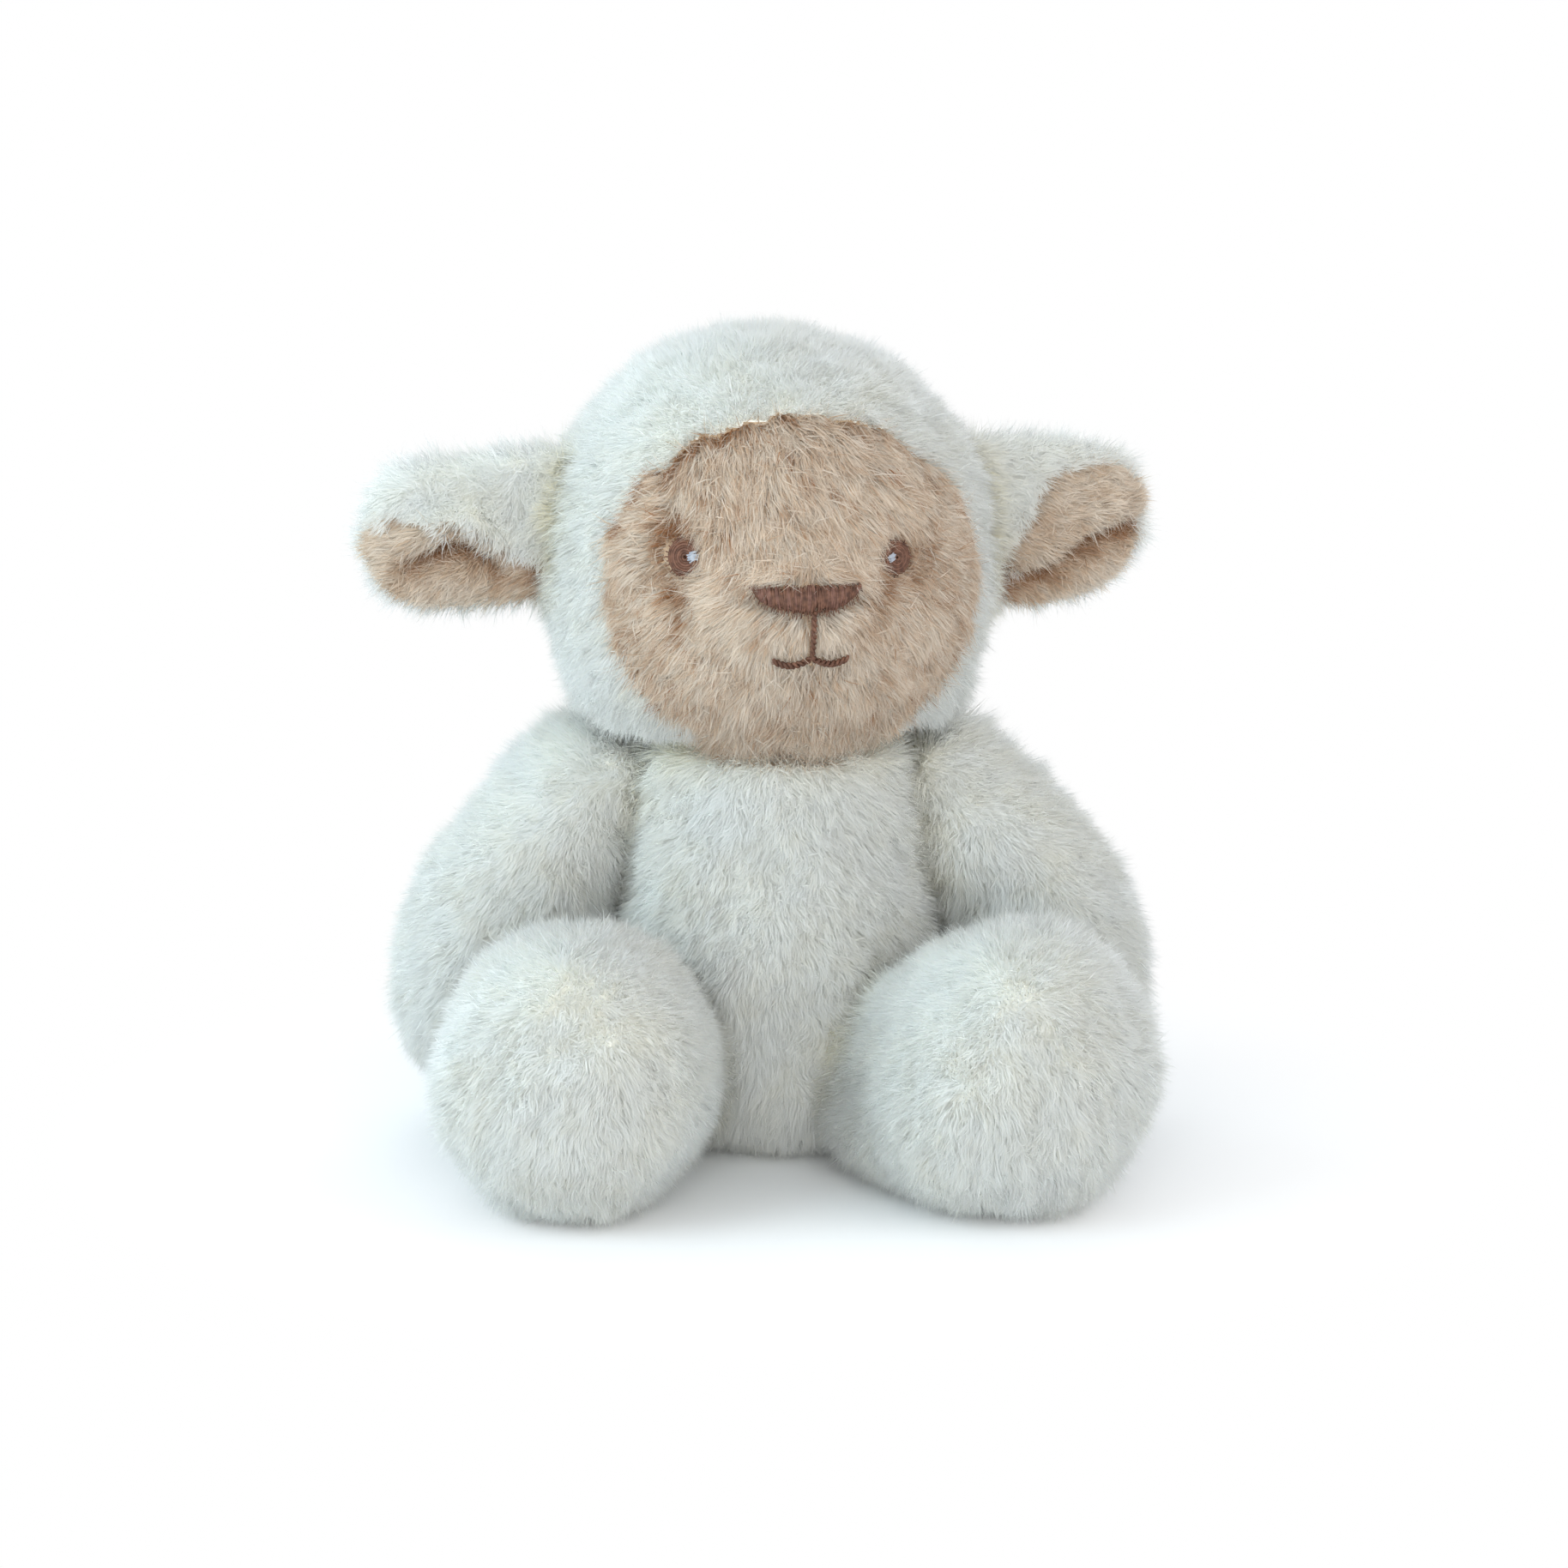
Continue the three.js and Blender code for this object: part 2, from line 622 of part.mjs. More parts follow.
function legMeshes(side) {
  const hip = hipAt(side);
  const footCentre = new THREE.Vector3(
    hip.x + signOf(side) * legLengths[side] * Math.sin(legSplays[side]),
    hip.y - legLengths[side] * Math.cos(legSplays[side]),
    footRadius - footFlat,
  );
  const toe = footCentre.clone().sub(hip);
  toe.setLength(toe.length() + footRoundLength).add(hip);
  const curve = new THREE.LineCurve3(hip, toe);
  const outside = (inset) => limbForm(curve, footRadius, legRadiusShares, limbRings, limbFacets, inset);
  const inside = (inset) => limbForm(curve, footRadius, legRadiusShares, limbHollowRings, limbHollowFacets, inset);
  const backwards = new THREE.Vector3(0, 1, 0);
  const leg = stuffedLimb(outside, inside, hip, hipRadius, legThroatRadius, backwards);
  const panel = (direction) => leg.skin.intersect(halfSpace('z', footRadius, direction, seamGap));
  const aboveFloor = halfSpace('z', 0, 1, 0);
  const bagCentre = footCentre.clone();
  bagCentre.z = pileThickness + footBagRadius - footBagSink;
  const bag = (gap) => ball(footBagRadius + gap, bagCentre, bagFacets);
  return [
    toMesh(`leg_${side}_upper_panel`, panel(1), whitePile()),
    toMesh(`leg_${side}_lower_panel`, panel(-1).intersect(aboveFloor), whitePile()),
    toMesh(`leg_${side}_filling`, leg.filling.subtract(bag(seamGap)), polyesterFilling()),
    toMesh(`foot_${side}_bean_bag`, bag(0).intersect(inside(pileThickness + seamGap)), pelletCloth()),
  ];
}

// Tail: a stub that stands out backwards and falls a little
function tailMeshes() {
  const tip = new THREE.Vector3(0, Math.cos(tailFall), -Math.sin(tailFall));
  const curve = new THREE.LineCurve3(tailRoot, tip.multiplyScalar(tailLength).add(tailRoot));
  const form = (inset) => limbForm(curve, tailRadius, tailRadiusShares, tailRings, tailFacets, inset);
  const outer = form(0).subtract(torsoOutside(-seatGap)).add(ball(tailRootRadius, tailRoot, barFacets));
  const forwards = new THREE.Vector3(0, -1, 0);
  const throat = (gap) => bar(tailThroatRadius - gap, tailRoot, forwards, tailRootRadius * 2);
  return [
    toMesh('tail_skin', outer.subtract(form(tailPile)).subtract(throat(0)), whitePile()),
    toMesh('tail_filling', form(tailPile + seamGap).add(throat(seamGap)).intersect(outer), polyesterFilling()),
  ];
}

const sheep = new THREE.Group();
sheep.add(...torsoMeshes());
const head = new THREE.Group();
head.position.x = neckX;
head.rotation.z = headTurn;
head.add(...headMeshes(), ...sides.flatMap(earMeshes));
sheep.add(head);
for (const side of sides) {
  sheep.add(...armMeshes(side), ...legMeshes(side));
}
sheep.add(...tailMeshes());

export default sheep;
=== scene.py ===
"""A seated plush sheep with a shaggy white pile, a tan face and embroidered eyes, nose and mouth.

Sizes are millimetres in the classes and turn into metres where a mesh is made. Left is -X, the face
looks along -Y and +Z is up. Places and directions are rows of x, y and z.
"""
import logging
import math
from dataclasses import dataclass, field
from enum import Enum
from functools import cache

import bmesh
import bpy
import numpy as np
from mathutils import Matrix, Vector
from mathutils.bvhtree import BVHTree
from mathutils.kdtree import KDTree


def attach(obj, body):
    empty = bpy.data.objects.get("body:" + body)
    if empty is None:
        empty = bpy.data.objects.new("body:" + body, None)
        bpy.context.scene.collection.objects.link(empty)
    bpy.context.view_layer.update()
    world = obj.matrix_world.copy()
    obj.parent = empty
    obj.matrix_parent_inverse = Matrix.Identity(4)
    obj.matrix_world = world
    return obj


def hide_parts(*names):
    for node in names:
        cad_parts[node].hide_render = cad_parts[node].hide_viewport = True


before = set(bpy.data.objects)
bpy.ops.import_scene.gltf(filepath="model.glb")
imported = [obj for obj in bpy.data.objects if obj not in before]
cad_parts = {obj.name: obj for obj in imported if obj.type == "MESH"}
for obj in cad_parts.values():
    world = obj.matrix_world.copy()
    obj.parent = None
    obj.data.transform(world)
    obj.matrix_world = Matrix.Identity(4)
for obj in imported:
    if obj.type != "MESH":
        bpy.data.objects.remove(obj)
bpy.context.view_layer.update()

LOG = logging.getLogger("plush_sheep")
MM = 0.001
SKIN_INSET, WADDING_INSET = 4.4, 7.0  # the backing's and the wadding's depth under the solids' surface
FLOOR_CLEARANCE = 0.3
WAVE_COUNT = 14
CHART = "OFBake"

Array = np.ndarray
Triple = tuple[float, float, float]


class Side(Enum):
    """Which half of the sheep a piece belongs to."""

    LEFT = -1
    RIGHT = 1

    @property
    def word(self) -> str:
        """The side's name as the solids write it."""
        return self.name.lower()


class Slot(Enum):
    """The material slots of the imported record."""

    WHITE = "white_pile"
    TAN = "tan_pile"
    THREAD = "brown_thread"
    FILLING = "polyester_filling"


def unit(vectors: Array) -> Array:
    """Scale rows of vectors to length one."""
    return vectors / np.maximum(np.linalg.norm(vectors, axis=-1, keepdims=True), 1e-9)


def smooth(low: float, high: float, values: Array) -> Array:
    """Step softly from 0 at low to 1 at high, which may lie below low."""
    share = np.clip((values - low) / (high - low), 0.0, 1.0)
    return share * share * (3.0 - 2.0 * share)


def bell(*terms: tuple[Array, float, float]) -> Array:
    """A bell curve, 1 where each term's values (first) meet its middle (second); third is its width."""
    return np.exp(-sum(((values - middle) / width) ** 2 for values, middle, width in terms))


def near(points: Array, middle: Triple | Array, width: float) -> Array:
    """A round bell curve about a place."""
    return np.exp(-((points - middle) ** 2).sum(axis=1) / width**2)


def tangent(vectors: Array, normals: Array) -> Array:
    """Lay directions onto a surface with these normals."""
    return unit(vectors - np.sum(vectors * normals, axis=1, keepdims=True) * normals)


def waves(seed: int, size: float, points: Array) -> Array:
    """Read smooth seeded noise made of plane waves, about -1 to 1.

    Args:
        seed: seed of the draw.
        size: typical wavelength.
        points: places to read.

    Returns:
        One value for each place.
    """
    rng = np.random.default_rng(seed)
    pull = unit(rng.normal(size=(WAVE_COUNT, 3))) * (2 * math.pi / size)
    pull *= rng.uniform(0.6, 1.5, size=(WAVE_COUNT, 1))
    shift = rng.uniform(0, 2 * math.pi, size=WAVE_COUNT)
    return np.sin(points @ pull.T + shift).sum(axis=1) * math.sqrt(2 / WAVE_COUNT) * 0.6


class Outline:
    """A smooth line through (place, value) shares."""

    def __init__(self, *shares: tuple[float, float]) -> None:
        """Sample the line.

        Args:
            shares: places and values, in order of place.
        """
        knots = np.array(shares, dtype=float)
        last = len(knots) - 1
        places = np.linspace(0, last, len(knots) * 8 + 1)
        cell = np.minimum(places.astype(int), last)
        t = (places - cell)[:, None]
        before, here = knots[np.maximum(cell - 1, 0)], knots[cell]
        after, far = knots[np.minimum(cell + 1, last)], knots[np.minimum(cell + 2, last)]
        slope_a, slope_b = (after - before) / 2, (far - here) / 2
        line = (2 * here - 2 * after + slope_a + slope_b) * t**3
        line += (-3 * here + 3 * after - 2 * slope_a - slope_b) * t**2 + slope_a * t + here
        self.places, self.values = line[:, 0], line[:, 1]

    def at(self, places: Array) -> Array:
        """Read the line at places from 0 to 1."""
        return np.interp(places, self.places, self.values)


class Centreline:
    """A smooth line through a few points, with frames that don't twist."""

    STEPS = 80

    def __init__(self, knots: list[Triple]) -> None:
        """Sample the line evenly along its length.

        Args:
            knots: the points that it passes.
        """
        path = np.array(knots, dtype=float)
        if len(knots) > 2:
            path = self._through(path)
        run = np.concatenate([[0], np.cumsum(np.linalg.norm(np.diff(path, axis=0), axis=1))])
        self.length = float(run[-1])
        self.share = np.linspace(0, 1, self.STEPS + 1)
        even = self.share * self.length
        self.points = np.stack([np.interp(even, run, path[:, k]) for k in range(3)], axis=1)
        self.tangents = unit(np.gradient(self.points, axis=0))
        self.normals = np.zeros_like(self.points)
        first = np.cross(self.tangents[0], (0.31, 0.72, 0.62))
        self.normals[0] = first / np.linalg.norm(first)
        for i in range(1, len(self.points)):
            carried = self.normals[i - 1]
            carried = carried - carried.dot(self.tangents[i]) * self.tangents[i]
            self.normals[i] = carried / np.linalg.norm(carried)
        self.binormals = np.cross(self.tangents, self.normals)

    @staticmethod
    def _through(knots: Array) -> Array:
        """Draw a centripetal spline.

        Args:
            knots: the points that it passes.

        Returns:
            Closely spaced points on it.
        """
        ends = np.vstack([2 * knots[0] - knots[1], knots, 2 * knots[-1] - knots[-2]])
        line = []
        for i in range(1, len(ends) - 2):
            four = ends[i - 1 : i + 3]
            gaps = np.sqrt(np.linalg.norm(np.diff(four, axis=0), axis=1))
            time = np.concatenate([[0], np.cumsum(gaps)])
            t = np.linspace(time[1], time[2], 24, endpoint=False)[:, None]

            def mix(a: Array, b: Array, low: float, high: float) -> Array:
                """Blend a into b between two times."""
                return a * (high - t) / (high - low) + b * (t - low) / (high - low)

            a1, a2, a3 = (mix(four[k], four[k + 1], time[k], time[k + 1]) for k in range(3))
            b1, b2 = mix(a1, a2, time[0], time[2]), mix(a2, a3, time[1], time[3])
            line.append(mix(b1, b2, time[1], time[2]))
        return np.vstack([*line, knots[-1:]])

    def read(self, values: Array, places: Array) -> Array:
        """Read one of the line's rows of vectors at places from 0 to 1."""
        return np.stack([np.interp(places, self.share, values[:, k]) for k in range(3)], axis=1)


# Finishes


def wire(tree: bpy.types.NodeTree, kind: str, inputs: dict[str | int, object], **settings: object) -> bpy.types.Node:
    """Add a shader node, or take up the one of that name, and set or feed its inputs.

    Args:
        tree: the node tree.
        kind: the new node's type, or the name of a node that is there.
        inputs: a constant or another node's output for each input.
        settings: the node's own settings.

    Returns:
        The node.
    """
    node = tree.nodes.get(kind) or tree.nodes.new(kind)
    for key, value in settings.items():
        setattr(node, key, value)
    for key, value in inputs.items():
        if isinstance(value, bpy.types.NodeSocket):
            tree.links.new(value, node.inputs[key])
        else:
            node.inputs[key].default_value = value
    return node


def blend(tree: bpy.types.NodeTree, share: object, first: bpy.types.Node, second: bpy.types.Node, end: str) -> None:
    """Mix two shaders by a share, and send them to the end node."""
    mix = wire(tree, "ShaderNodeMixShader", {"Fac": share, 1: first.outputs[0], 2: second.outputs[0]})
    wire(tree, end, {"Surface": mix.outputs["Shader"]})


def ramp(tree: bpy.types.NodeTree, share: bpy.types.NodeSocket, *stops: tuple[float, Triple]) -> bpy.types.NodeSocket:
    """Turn a share into a colour.

    Args:
        tree: the node tree.
        share: the output that gives the share.
        stops: the two end colours and any between them, each after its place.

    Returns:
        The colour's output.
    """
    node = wire(tree, "ShaderNodeValToRGB", {"Fac": share})
    marks = node.color_ramp.elements
    for number, (position, color) in enumerate(stops):
        mark = marks[number] if number < 2 else marks.new(position)
        mark.position, mark.color = position, (*color, 1)
    return node.outputs["Color"]


@dataclass(frozen=True)
class PileFinish:
    """Plush fibre: the chart's u runs from pale to crease colour and its v from root to tip."""

    name: str
    pale: Triple
    middle: Triple
    # the colour at full shade: the painted shade of creases, seams and hollows, and the darkest tone of streaks
    crease: Triple
    root_shade: float = 0.9
    roughness: float = 0.85
    sheen: float = 0.35
    through: float = 0.66

    def material(self) -> bpy.types.Material:
        """Make the fibre's material.

        Returns:
            The new material.
        """
        made = bpy.data.materials.new(self.name)
        made.use_nodes = True
        tree = made.node_tree
        chart = wire(tree, "ShaderNodeUVMap", {}, uv_map=CHART)
        split = wire(tree, "ShaderNodeSeparateXYZ", {0: chart.outputs["UV"]})
        tint = ramp(tree, split.outputs["X"], (0.0, self.pale), (1.0, self.crease), (0.45, self.middle))
        depth = wire(tree, "ShaderNodeMapRange", {"To Min": self.root_shade, "Value": split.outputs["Y"]})
        shaded = {"Factor": 1.0, "A": tint, "B": depth.outputs["Result"]}
        color = wire(tree, "ShaderNodeMix", {}, data_type="RGBA", blend_type="MULTIPLY")
        color = wire(tree, color.name, shaded).outputs["Result"]
        look = {"Roughness": self.roughness, "Sheen Weight": self.sheen, "Sheen Roughness": 0.45}
        fibre = wire(tree, "Principled BSDF", {"Base Color": color, "Specular IOR Level": 0.25, **look})
        glow = wire(tree, "ShaderNodeBsdfTranslucent", {"Color": color})
        blend(tree, self.through, fibre, glow, "Material Output")
        return made


@dataclass(frozen=True)
class ClothFinish:
    """A knitted or woven cloth, thread or loose wadding: mottled in colour and finely bumped."""

    name: str
    light: Triple
    dark: Triple
    grain: float
    bump: float = 0.3
    roughness: float = 0.9

    def material(self) -> bpy.types.Material:
        """Make the cloth's material.

        Returns:
            The new material.
        """
        made = bpy.data.materials.new(self.name)
        made.use_nodes = True
        tree = made.node_tree
        place = wire(tree, "ShaderNodeTexCoord", {}).outputs["Object"]
        grain = wire(tree, "ShaderNodeTexNoise", {"Scale": self.grain, "Detail": 4.0, "Vector": place}).outputs["Fac"]
        tint = ramp(tree, grain, (0.3, self.dark), (0.7, self.light))
        bump = wire(tree, "ShaderNodeBump", {"Strength": self.bump, "Distance": 0.0004, "Height": grain})
        look = {"Roughness": self.roughness, "Specular IOR Level": 0.2}
        wire(tree, "Principled BSDF", {"Base Color": tint, "Normal": bump.outputs["Normal"], **look})
        return made


# Crease colours: the white's is a painted yellowish shade for creases; the tan's is the painted shade of the face's
# seam, folds and socket and of the ear's hollows, and the darkest tone of its streaks.
WHITE_PILE = PileFinish("white_plush_pile", (0.960, 0.972, 0.968), (0.96, 0.947, 0.885), (0.94, 0.86, 0.56), 0.99)
TAN_PILE = PileFinish("tan_plush_pile", (0.965, 0.89, 0.80), (0.80, 0.65, 0.505), (0.47, 0.235, 0.11), 0.71)
PILES = {Slot.WHITE: WHITE_PILE, Slot.TAN: TAN_PILE}
WHITE_BACKING = ClothFinish("white_pile_backing", (0.94, 0.94, 0.90), (0.88, 0.87, 0.82), 900.0)
TAN_BACKING = ClothFinish("tan_pile_backing", (0.58, 0.43, 0.30), (0.46, 0.33, 0.22), 900.0)
BROWN_THREAD = ClothFinish("brown_embroidery_thread", (0.16, 0.075, 0.048), (0.055, 0.026, 0.018), 700.0, 0.4, 0.55)
RUST_THREAD = ClothFinish("lighter_brown_thread", (0.19, 0.092, 0.062), (0.10, 0.047, 0.033), 700.0, 0.4, 0.55)
NOSE_THREAD = ClothFinish("reddish_brown_thread", (0.19, 0.095, 0.07), (0.09, 0.042, 0.032), 700.0, 0.4, 0.55)
GLINT_THREAD = ClothFinish("pale_glint_thread", (0.40, 0.42, 0.47), (0.26, 0.28, 0.33), 700.0, 0.4, 0.5)
WADDING = ClothFinish("polyester_wadding", (0.88, 0.88, 0.86), (0.74, 0.74, 0.71), 300.0, 0.8)
PELLET_CLOTH = ClothFinish("pellet_bag_cloth", (0.62, 0.57, 0.48), (0.48, 0.44, 0.36), 1200.0, 0.5)


@cache
def material_of(finish: PileFinish | ClothFinish) -> bpy.types.Material:
    """The material of a finish, made on first use and shared."""
    return finish.material()


def triangulated(skin: bmesh.types.BMesh) -> tuple[Array, Array, Array, BVHTree]:
    """Cut a skin into triangles and read it by place, because Blender's own order changes from run to run.

    Args:
        skin: the closed skin, changed in place.

    Returns:
        Its corners, their normals, its faces as numbers of corners, and a tree of the faces.
    """
    bmesh.ops.triangulate(skin, faces=skin.faces)
    skin.verts.index_update()
    skin.normal_update()
    corners = np.array([vert.co for vert in skin.verts])
    normals = np.array([vert.normal for vert in skin.verts])
    order = np.lexsort(corners.T)
    faces = np.argsort(order)[np.array([[vert.index for vert in face.verts] for face in skin.faces])]
    turns = (faces.argmin(axis=1)[:, None] + np.arange(3)) % 3
    faces = np.take_along_axis(faces, turns, axis=1)
    corners, faces = corners[order], faces[np.lexsort(faces.T)]
    return corners, normals[order], faces, BVHTree.FromPolygons(corners.tolist(), faces.tolist(), all_triangles=True)


def as_mesh(shape: bmesh.types.BMesh) -> bpy.types.Mesh:
    """Copy a bmesh in millimetres into a smooth mesh in metres.

    Args:
        shape: the bmesh, which the caller frees.

    Returns:
        The new mesh.
    """
    mesh = bpy.data.meshes.new("form")
    shape.to_mesh(mesh)
    mesh.transform(Matrix.Diagonal((MM, MM, MM, 1)))
    mesh.polygons.foreach_set("use_smooth", np.ones(len(mesh.polygons), dtype=bool))
    return mesh


def add_piece(
    name: str, mesh: bpy.types.Mesh, finish: PileFinish | ClothFinish, body: str, slot: Slot, *nodes: str
) -> bpy.types.Object:
    """Put a finished mesh into the scene as a piece that rides on a body.

    Args:
        name: the piece's name.
        mesh: its mesh, in metres and in place.
        finish: its finish.
        body: the CAD body that carries it.
        slot: the record's material slot; not used.
        nodes: the solids that it stands for.

    Returns:
        The new object.
    """
    mesh.name = name
    mesh.materials.append(material_of(finish))
    piece = bpy.data.objects.new(name, mesh)
    bpy.context.scene.collection.objects.link(piece)
    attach(piece, body)
    LOG.info("%s: %d faces on %s", name, len(mesh.polygons), body)
    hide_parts(*nodes)
    return piece


# Pile


@dataclass(frozen=True)
class PileStyle:
    """How a pile grows: densities for each square millimetre, lifts in degrees above the skin."""

    length: float
    density: float = 1.8
    fine_density: float = 5.8
    width: float = 0.38
    fine_width: float = 0.30
    root_lift: float = 66.0
    tip_lift: float = 39.0
    fine_lift: float = 52.0
    tuft: float = 2.2
    tuft_pull: float = 0.40
    lock: float = 6.0
    lock_pull: float = 0.14
    swirl: float = 0.55
    swirl_size: float = 12.0
    stray: float = 0.2
    mottle: float = 0.03
    soft: float = 0.79  # how far a strand is shaded as the skin under it


LONG_WHITE = PileStyle(length=7.5)


@dataclass
class Strands:
    """Rooted strands before they become a mesh: one row each."""

    roots: Array
    normals: Array
    comb: Array
    lengths: Array
    shades: Array
    middles: Array | None = None
    tips: Array | None = None

    def only(self, keep: Array) -> "Strands":
        """A copy with the chosen rows."""
        return Strands(*(part[keep] for part in vars(self).values()))


class PileGrower:
    """Grows strands from their roots, gathers them into tufts and locks, and makes ribbons of them."""

    def __init__(self, style: PileStyle, seed: int) -> None:
        """Keep the style, and seed all the random draws."""
        self.style, self.seed, self.rng = style, seed, np.random.default_rng(seed)

    def grow(self, strands: Strands, fine: bool) -> Strands:
        """Give every strand its middle and its tip.

        Args:
            strands: rooted strands, changed in place.
            fine: whether these are the straight fine hairs between the bent ones.

        Returns:
            The same strands, grown.
        """
        style, count, roots = self.style, len(strands.roots), strands.roots
        wander = [waves(self.seed + k, style.swirl_size, roots) for k in range(3)]
        jitter = self.rng.normal(size=(count, 3)) * (0.30 if fine else 0.24)
        stray = self.rng.random(count) < style.stray * (2 if fine else 1)
        jitter[stray] *= 2.6
        flow = tangent(strands.comb + np.stack(wander, axis=1) * style.swirl + jitter, strands.normals)
        lift_noise = waves(self.seed + 7, style.swirl_size * 0.6, roots) * 5.0
        spread = self.rng.normal(size=count) * 5.0 + lift_noise
        first, last = (style.fine_lift, style.fine_lift) if fine else (style.root_lift, style.tip_lift)
        low = np.radians(np.clip(first + spread, 8, 88))[:, None]
        high = np.radians(np.clip(last + spread + 14.0 * stray, -12, 78))[:, None]
        reach = strands.lengths * self.rng.uniform(0.82, 1.12, size=count) * (1 + 0.25 * stray)
        half = (reach / 2)[:, None]
        strands.middles = roots + half * (np.cos(low) * flow + np.sin(low) * strands.normals)
        strands.tips = strands.middles + half * (np.cos(high) * flow + np.sin(high) * strands.normals)
        hold = np.where(stray, 0.2, 0.75 if fine else 1.0)
        density = style.fine_density if fine else style.density
        for spacing, pull in ((style.lock, style.lock_pull), (style.tuft, style.tuft_pull)):
            self._gather(strands, spacing, pull * hold, density)
        strands.shades = strands.shades + self.rng.normal(size=count) * style.mottle * 0.9
        for part in (strands.middles, strands.tips):
            part[:, 2] = np.maximum(part[:, 2], FLOOR_CLEARANCE)
        return strands

    def _gather(self, strands: Strands, spacing: float, pull: Array, density: float) -> None:
        """Pull the strands towards leaders, so that they form points, and tint each group.

        Args:
            strands: grown strands, changed in place.
            spacing: distance between leaders.
            pull: share of the way that each tip moves.
            density: strands for each square millimetre.
        """
        count = len(strands.roots)
        wanted = max(1, int(count / (density * spacing * spacing)))
        leaders = self.rng.choice(count, size=min(wanted, count), replace=False)
        tree = KDTree(len(leaders))
        for row, leader in enumerate(leaders):
            tree.insert(strands.roots[leader], row)
        tree.balance()
        find = tree.find
        rows = np.array([find(root)[1] for root in strands.roots.tolist()])
        nearest = leaders[rows]
        away = strands.roots - strands.roots[nearest]
        share = (pull * self.rng.uniform(0.65, 1.2, size=count))[:, None]
        goal_tip = strands.tips[nearest] + away * 0.18
        goal_middle = strands.middles[nearest] + away * 0.55
        tints = self.rng.normal(size=len(leaders)) * self.style.mottle * min(1.0, 3.0 / spacing) ** 2
        strands.shades = strands.shades + tints[rows]
        strands.tips = strands.tips + (goal_tip - strands.tips) * share
        strands.middles = strands.middles + (goal_middle - strands.middles) * share * 0.55

    def blades(self, strands: Strands, fine: bool) -> tuple[Array, Array, Array, Array]:
        """Make each strand a bent ribbon of three triangles, or a fine one of one triangle.

        Args:
            strands: grown strands.
            fine: whether these are the fine hairs.

        Returns:
            Corners, soft normals, corner numbers of the triangles, and their chart.
        """
        count = len(strands.roots)
        along = unit(strands.tips - strands.roots)
        level = unit(np.cross(along, strands.normals))
        roll = self.rng.uniform(-1.0, 1.0, size=(count, 1))
        across = np.cos(roll) * level + np.sin(roll) * np.cross(along, level)
        facing = np.cross(across, along)
        flip = np.sum(facing * strands.normals, axis=1, keepdims=True) < 0
        across, facing = np.where(flip, -across, across), np.where(flip, -facing, facing)
        width = self.style.fine_width if fine else self.style.width
        wide = across * (width / 2) * self.rng.uniform(0.75, 1.25, size=(count, 1))
        sunk, middle = strands.roots - strands.normals * 0.3, strands.middles
        parts, corners, rise = [sunk - wide, sunk + wide, strands.tips], [0, 1, 2], [0.0, 0.0, 1.0]
        if not fine:
            parts[2:] = [middle + wide * 0.85, middle - wide * 0.85, strands.tips]
            corners, rise = [0, 1, 2, 0, 2, 3, 3, 2, 4], [0.0, 0.0, 0.55, 0.55, 1.0]
        share = self.style.soft
        soft = unit(strands.normals * share + facing * (1 - share) + self.rng.normal(size=(count, 3)) * 0.04)
        faces = (np.arange(count)[:, None] * len(parts) + np.array(corners)).reshape(-1)
        tint = np.repeat(np.clip(strands.shades, 0.01, 0.99), len(corners))
        heights = np.tile(np.array(rise)[corners] * 0.96 + 0.02, count)
        verts = np.stack(parts, axis=1).reshape(-1, 3)
        return verts, np.repeat(soft, len(parts), axis=0), faces, np.stack([tint, heights], axis=1)

    def mesh(self, coarse: Strands, fine: Strands) -> bpy.types.Mesh:
        """Make one mesh of the bent strands and the fine hairs.

        Args:
            coarse: the bent strands.
            fine: the fine hairs.

        Returns:
            The mesh in metres, with its chart and soft normals.
        """
        first, second = self.blades(coarse, False), self.blades(fine, True)
        verts, soft, chart = (np.concatenate([first[k], second[k]]).astype(np.float32) for k in (0, 1, 3))
        faces = np.concatenate([first[2], second[2] + len(first[0])]).astype(np.int32)
        mesh = bpy.data.meshes.new("pile")
        mesh.vertices.add(len(verts))
        mesh.vertices.foreach_set("co", (verts * np.float32(MM)).ravel())
        mesh.loops.add(len(faces))
        mesh.loops.foreach_set("vertex_index", faces)
        mesh.polygons.add(len(faces) // 3)
        mesh.polygons.foreach_set("loop_start", np.arange(0, len(faces), 3, dtype=np.int32))
        mesh.uv_layers.new(name=CHART).data.foreach_set("uv", chart.ravel())
        mesh.update(calc_edges=True)
        mesh.polygons.foreach_set("use_smooth", np.ones(len(faces) // 3, dtype=bool))
        mesh.normals_split_custom_set_from_vertices(soft)
        return mesh


@dataclass(frozen=True)
class Panel:
    """One sewn panel of a form: the node it stands for and the pile on it."""

    node: str
    style: PileStyle = LONG_WHITE
    slot: Slot = Slot.WHITE


# Forms


